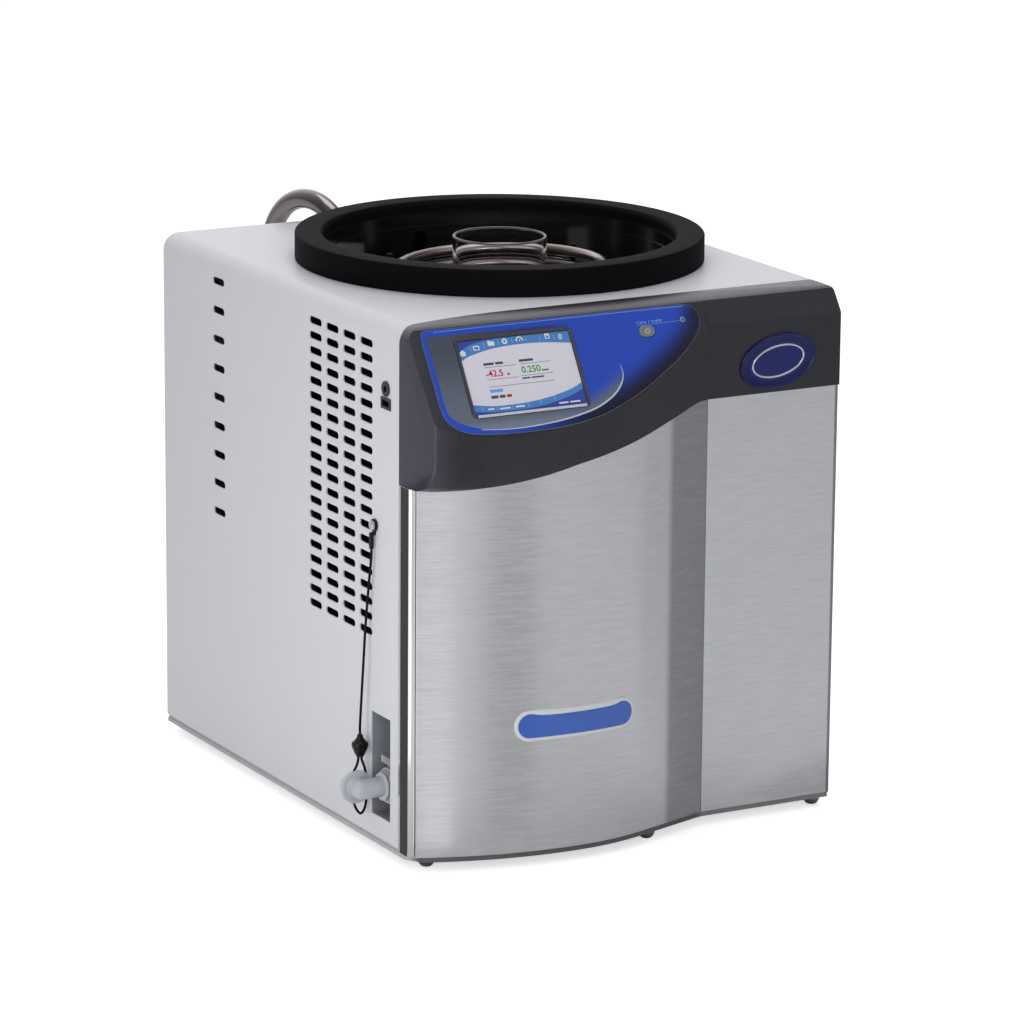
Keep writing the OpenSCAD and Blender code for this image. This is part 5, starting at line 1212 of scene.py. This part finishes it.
def oval_rings(width, height, steps, rows):
    """Ovals drawn in by each row's inset, at each row's height."""
    return [(oval_loop(width - 2 * inset, height - 2 * inset, steps=steps), level) for inset, level in rows]


# Each row of the dish and of the ring: how far it is drawn in, and its height.
DISH = [(0, 0.02), (0, 1.3), (0.25, 1.75), (0.7, 2.0), (1.2, 1.9), (1.6, 1.45), (2.4, 1.12), (9, 1.3), (15, 1.42),
        (19, 1.45)]
OVAL = [(0, 1.1), (0, 1.5), (0.4, 1.78), (1.3, 1.78), (1.75, 1.5), (1.75, 1.1)]
dish = laid("badge_shell", stacked(oval_rings(73, 45, 112, DISH)), on_badge, "badge_blue", sharp=60)
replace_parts(dish, "badge_dish")
laid("badge_field", plate(oval_loop(57, 31, steps=96), 1.2, 1.5), on_badge, "badge_pale", sharp=60)
oval = laid("badge_oval", stacked(oval_rings(51, 27, 96, OVAL), caps=False), on_badge, "emblem_silver", sharp=60)
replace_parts(oval, "badge_emblem")

PLATE, PLATE_SIZE = (137.0, 119.0), (112, 26)
border = plate(slot_loop(*PLATE_SIZE, 0, PLATE, 32), 0.1, 1.42, fold=0.35, fill=3)
plain = laid("plate_border", border, on_bow, "plate_white", sharp=50)
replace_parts(plain, "name_plate")
laid("plate_field", plate(slot_loop(*PLATE_SIZE, 2.8, PLATE, 32), 1.2, 1.5, fill=3), on_bow, "plate_blue", sharp=50)
print("badge at", BADGE, "plate at", PLATE)

# %% [markdown]
# ## The drain
# A recessed pocket holds a quick coupling in pale moulded plastic. The elbow
# plugs into it and its side arm ends in a flanged cap, whose neck carries the
# lanyard's loop. Each part is a profile turned about its own axis, and the
# collar's edge is wavy, for grip: its radius rises and falls nine times a turn.

# %% The drain
DRAIN_Y, DRAIN_Z = 50.6, 59.0
DRAIN = (0, DRAIN_Y, DRAIN_Z)
ARM_R, CAP_X = 8.5, -17.7
WAVES, WAVE_RISE, WAVE_FROM, WAVE_FULL = 9, 0.035, 8, 11


def dome(radius, start, steps=9):
    """A quarter circle from the axis out to radius, ending at height start."""
    angle = np.linspace(0.02, np.pi / 2, steps)
    return [(radius * math.sin(a), start - radius * math.cos(a)) for a in angle]


ARM = dome(ARM_R, CAP_X) + [(ARM_R, 0.3), (ARM_R, 1.0), (5.4, 1.0), (5.4, 8.3), (0.05, 8.3)]
COLLAR = [(6, 0.25), (11.3, 0.25), (12, 0.8), (12, 2.3), (11.3, 2.8), (6, 2.8), (6, 0.25)]
CAP = dome(ARM_R, 0) + [(ARM_R, 5.6), (9.2, 6.9), (12.6, 7.0), (14, 7.9), (14, 9.2), (12.8, 9.9), (11.6, 10.2),
                        (11.6, 15.2), (10.8, 16), (5.2, 16), (5, 16.8), (5, 20.8), (5.4, 21.6), (6.4, 21.6),
                        (7, 22.1), (7, 22.9), (6.4, 23.4), (0.05, 23.4)]
arm = turned(rounded(ARM, 0.5), DRAIN, "x", 72)
collar_points, collar_faces = turned(rounded(COLLAR, 0.5), DRAIN, "x", 144)
off = collar_points - DRAIN
reach = np.hypot(off[:, 1], off[:, 2])
wave = 1 + WAVE_RISE * np.cos(WAVES * np.arctan2(off[:, 2], off[:, 1])) * blend(WAVE_FROM, WAVE_FULL, reach)
collar_points = DRAIN + off * np.column_stack([np.ones(len(wave)), wave, wave])
cap_end = turned(rounded(CAP, 0.5), (CAP_X, DRAIN_Y, DRAIN_Z), "y", 96)
elbow = piece("elbow_body", *join(arm, (collar_points, collar_faces), cap_end), "coupling_plastic", sharp=55)
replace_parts(elbow, "drain_elbow")
skin("drain_coupling", 0.5, sharp=40)
skin("drain_latch", 0.4, body="latch", sharp=40)
skin("drain_pocket", 0.5, sharp=40)
print("elbow points", len(elbow.data.vertices))

# %% [markdown]
# ## The lanyard
# A thin woven cord hangs from a chromed screw and ends in a bead, below which
# it splits into a loop round the cap's neck. It keeps the plug with the
# machine. The cord is a tube along a smooth curve through measured points.

# %% The lanyard
CORD = [(-3.4, 61, 258), (-3.4, 61, 252), (-4, 62, 240), (-5, 64.5, 215), (-6, 66.5, 190), (-7, 68, 160),
        (-8, 69.5, 130), (-9, 70, 108), (-9, 70, 100)]
LOOP = [(-7.4, 70, 81), (-7.4, 70, 78), (-4.5, 70.2, 70), (-2.6, 70.4, 60), (-2.6, 70.4, 46), (-4.5, 70.4, 36),
        (-8, 70.4, 32), (-12, 70.4, 36), (-16, 70.4, 46), (-19, 70.4, 51.6), (-23, 70.4, 53.6), (-25.2, 70.4, 58),
        (-24.4, 70.4, 62.6), (-20.6, 70.4, 65.8), (-16.4, 70.4, 67), (-12.6, 70.2, 72), (-10.7, 70, 78),
        (-10.7, 70, 81)]
CORD_D, CORD_SIDES, CORD_STEP, WEAVE, LAY = 2.2, 16, 0.6, 0.035, 2.4


def woven(path, diameter):
    """A cord's surface: a ring carried along the path, its radius lifted a
    little where two sets of strands, wound in opposite ways, cross over."""
    points, faces = swept(path, diameter / 2, CORD_SIDES, (0.3, 1, 0.05))
    middle = np.repeat(path, CORD_SIDES, 0)
    far = np.repeat(travelled(path), CORD_SIDES) * LAY
    turn = 2 * np.tile(np.arange(CORD_SIDES) * 2 * np.pi / CORD_SIDES, len(path))
    weave = WEAVE * np.maximum(np.cos(turn + far), np.cos(turn - far))
    return middle + (points - middle) * (1 + weave[:, None] - WEAVE), faces


cord_path, loop_path = along(CORD, CORD_STEP), along(LOOP, CORD_STEP)
cord = piece("lanyard_line", *woven(cord_path, CORD_D), "cord_black", sharp=80)
loop = piece("lanyard_ring", *woven(loop_path, CORD_D), "cord_black", sharp=80)
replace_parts(cord, "lanyard_cord")
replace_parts(loop, "lanyard_loop")
BEAD = [(0.05, 100), (1.8, 100), (2.3, 99), (3.0, 96.6), (4.6, 94.6), (6.7, 93), (7.0, 91.8), (7.0, 90.4), (6.6, 88.8),
        (5.2, 85.4), (3.9, 82.4), (3.1, 81.2), (2.6, 81), (0.05, 81)]
bead = piece("lanyard_toggle", *turned(rounded(BEAD, 0.8), (-9, 70, 0), steps=64), "bead_black", sharp=70)
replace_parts(bead, "lanyard_bead")
eyelet = skin("lanyard_eyelet", 0.35, sharp=40)
SCREW = [(0.05, 8), (2, 8), (2, -2.2), (4.2, -2.2), (4.2, -3.4), (3.9, -3.9), (3.0, -4.35), (1.6, -4.45), (1.5, -3.6),
         (0.05, -3.6)]
screw = piece("lanyard_stud", *turned(rounded(SCREW, 0.35), (0, 61, 277), "x", 48), "screw_chrome", sharp=40)
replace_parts(screw, "lanyard_screw")


def hang(path):
    """The path's length in metres, to a tenth of a millimetre."""
    length = round(float(travelled(path)[-1]) / 1000, 4)
    return length


print("cord", hang(cord_path), "m, loop", hang(loop_path), "m")

# %% [markdown]
# ## Sheet metal and mouldings
# The folded panels keep the solid model's form. Each gets a skin whose cut and
# folded edges are broken by a fraction of a millimetre, as a press leaves
# them, so that every edge draws a thin line of light. Three of them wear
# another finish than their slot's: the coil stand a duller black, and the two
# steel panels steel with painted shade along one edge.

# %% Sheet metal and mouldings
EDGES = {
    "cabinet_cover": 0.35, "rear_panel": 0.35, "base_pan": 0.3, "corner_post": 0.3, "front_panel_bow": 0.5,
    "front_panel_flat": 0.45, "display_module": 0.4, "control_board": 0.2, "button_switch": 0.3,
    "collector_chamber": 0.5, "chamber_insulation": 0.8, "coil_stand": 0.3, "tube_grommet": 0.5, "sensor_jack": 0.35,
    "data_socket": 0.3, "power_inlet": 0.6, "compressor": 0.8, "compressor_mounts": 0.8, "fan_shroud": 0.3,
    "fan_bracket": 0.4, "fan_motor": 0.8, "filter_drier": 0.6, "electronics_box": 0.9, "panel_screws": 0.5,
    "foot_studs": 0.4, "foot_front_left": 0.5, "foot_front_middle": 0.5, "foot_front_right": 0.5,
    "foot_rear_left": 0.5, "foot_rear_right": 0.5,
}
# The two steel panels wear steel with painted shade along one edge; the coil stand wears a dull black.
OTHER = {"coil_stand": "fin_black", "front_panel_bow": "bow_steel_painted_shade", "front_panel_flat": "flat_steel_painted_shade"}
for node, width in EDGES.items():
    skin(node, width, OTHER.get(node))
skins = [o for o in scene.objects if o.name.endswith("_skin")]
print(len(skins), "skins,", sum(len(o.data.polygons) for o in skins), "faces")

# %% [markdown]
# ## Hoses and refrigerant lines
# Hoses sag and turn in wide curves, and copper lines run straight and bend on
# a tight former. Each is a ring carried along a smooth curve through the points
# that the pipe fitter would mark out.

# %% Hoses and refrigerant lines
# Each line: its outer diameter, its finish, and the points of its route.
ROUTES = {
    "vacuum_hose": (19, "hose_rubber", [
        (210.4, 411, 436.5), (210.4, 419, 436.5), (204.4, 429, 428.5), (173.9, 429, 392.5), (153.9, 412.7, 374.5),
        (149.94, 406.7, 390.5), (149.94, 406.7, 400.5)]),
    "drain_hose": (12, "hose_clear", [
        (126.4, 155.6, 226), (126.4, 155.6, 216), (138.4, 133.6, 176), (130.4, 77.6, 109), (83.6, 54.6, 67),
        (51.6, 50.6, 59), (43.6, 50.6, 59)]),
    "discharge_line": (8, "copper", [
        (219, 330, 81.5), (207, 330, 81.5), (150, 320, 90), (60, 300, 110), (24, 240, 150), (24, 210, 300),
        (24, 196, 360), (24, 186, 360)]),
    "liquid_line": (6.4, "copper", [
        (24, 186, 110), (24, 200, 110), (40, 260, 60), (120, 380, 34), (180, 400, 36), (180, 400, 46), (180, 400, 60)]),
    "suction_line": (9.5, "copper", [(285, 310, 232), (285, 310, 205), (285, 310, 189.5)]),
}
ROUTE_STEP, ROUTE_SIDES, ROUTE_HINT = 2.5, 24, (0.35, 0.2, 1)
for node, (diameter, worn, route) in ROUTES.items():
    line = swept(along(route, ROUTE_STEP), diameter / 2, ROUTE_SIDES, ROUTE_HINT)
    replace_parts(piece(node + "_tube", *line, worn, sharp=60), node)
print("routes", list(ROUTES))

# %% [markdown]
# ## The fan and the condenser
# A five-bladed fan draws air through the condenser just inside the louvres.
# Each blade is a grid over radius and chord: its pitch falls from root to tip
# and its section is an arc. The condenser is a stack of thin black fins
# between two end plates. Their near black is painted shade: it keeps the
# louvres as dark as the shaded inside of the cabinet.

# %% The fan and the condenser
FAN = np.array([55.8, 130.0, 166.0])
# Lengths in millimetres and pitches in degrees.
BLADES, BLADE_ROOT, BLADE_TIP, HALF_CHORD, HALF_THICK, CAMBER = 5, 14.5, 51, 10.8, 0.9, 1.1
PITCH_ROOT, PITCH_FALL, CHORD_MIDDLE, CHORD_REACH, BLADE_X = 36, 14, 32, 20.5, 5


def blade(turn, rows=18, cols=14):
    """One closed blade. Its pitch in degrees falls with radius, the chord
    narrows to round ends, and the back is the front moved by the thickness,
    which falls to nothing at the edges."""
    r = np.linspace(BLADE_ROOT, BLADE_TIP, rows)[:, None]
    c = np.linspace(-1, 1, cols)[None, :]
    chord = HALF_CHORD * np.clip(1 - np.abs((r - CHORD_MIDDLE) / CHORD_REACH) ** 7, 0.25, 1) * c
    pitch = np.radians(PITCH_ROOT - PITCH_FALL * (r - BLADE_ROOT) / (BLADE_TIP - BLADE_ROOT))
    sides = []
    for thick in (HALF_THICK, -HALF_THICK):
        lift = CAMBER * (1 - c ** 2) + thick * np.sqrt(np.clip(1 - c ** 4, 0.02, 1))
        t = chord * np.cos(pitch) - lift * np.sin(pitch)
        a = BLADE_X + chord * np.sin(pitch) + lift * np.cos(pitch)
        y = r * math.sin(turn) + t * math.cos(turn)
        z = r * math.cos(turn) - t * math.sin(turn)
        sides.append(np.stack([a, y, z], -1))
    points = np.concatenate([sides[0], sides[1][:, ::-1]], 1).reshape(-1, 3) + FAN
    return points, tube_faces(rows, 2 * cols)


HUB = [(4.2, -2), (14.5, -2), (15.6, -1.2), (16, 0.6), (16, 11.4), (15.4, 12), (4.2, 12), (4.2, -2)]
blades = [blade(2 * math.pi * k / BLADES) for k in range(BLADES)]
rotor = piece("fan_wheel", *join(turned(rounded(HUB, 0.8), FAN, "x", 72), *blades), "fan_plastic", "fan", sharp=45)
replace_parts(rotor, "fan_rotor")


def block(low, high):
    """A plain box between two corners, as points and faces."""
    low, high = np.asarray(low, float), np.asarray(high, float)
    pick = np.array([[0, 0, 0], [1, 0, 0], [1, 1, 0], [0, 1, 0], [0, 0, 1], [1, 0, 1], [1, 1, 1], [0, 1, 1]])
    sides = [[3, 2, 1, 0], [4, 5, 6, 7], [0, 1, 5, 4], [1, 2, 6, 5], [2, 3, 7, 6], [3, 0, 4, 7]]
    return low + pick * (high - low), sides


STACK_LOW, STACK_HIGH, STACK_TOP, END_THICK, FIN_THICK, FIN_PITCH = 76, 184, 400, 2, 0.35, 2.1
fins = [block((10, y, 96), (44, y + FIN_THICK, STACK_TOP)) for y in np.arange(STACK_LOW + 0.5, 183.8, FIN_PITCH)]
core = block((12, STACK_LOW, 98), (42, STACK_HIGH, 398))
ends = [block((8, y, 24), (46, y + END_THICK, STACK_TOP)) for y in (STACK_LOW - END_THICK, STACK_HIGH)]
# The fins' near black is painted shade, seen through the louvres.
cooler = piece("condenser_stack", *join(core, *fins, *ends), "fin_black")
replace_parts(cooler, "condenser")
print("blades", BLADES, "fins", len(fins))
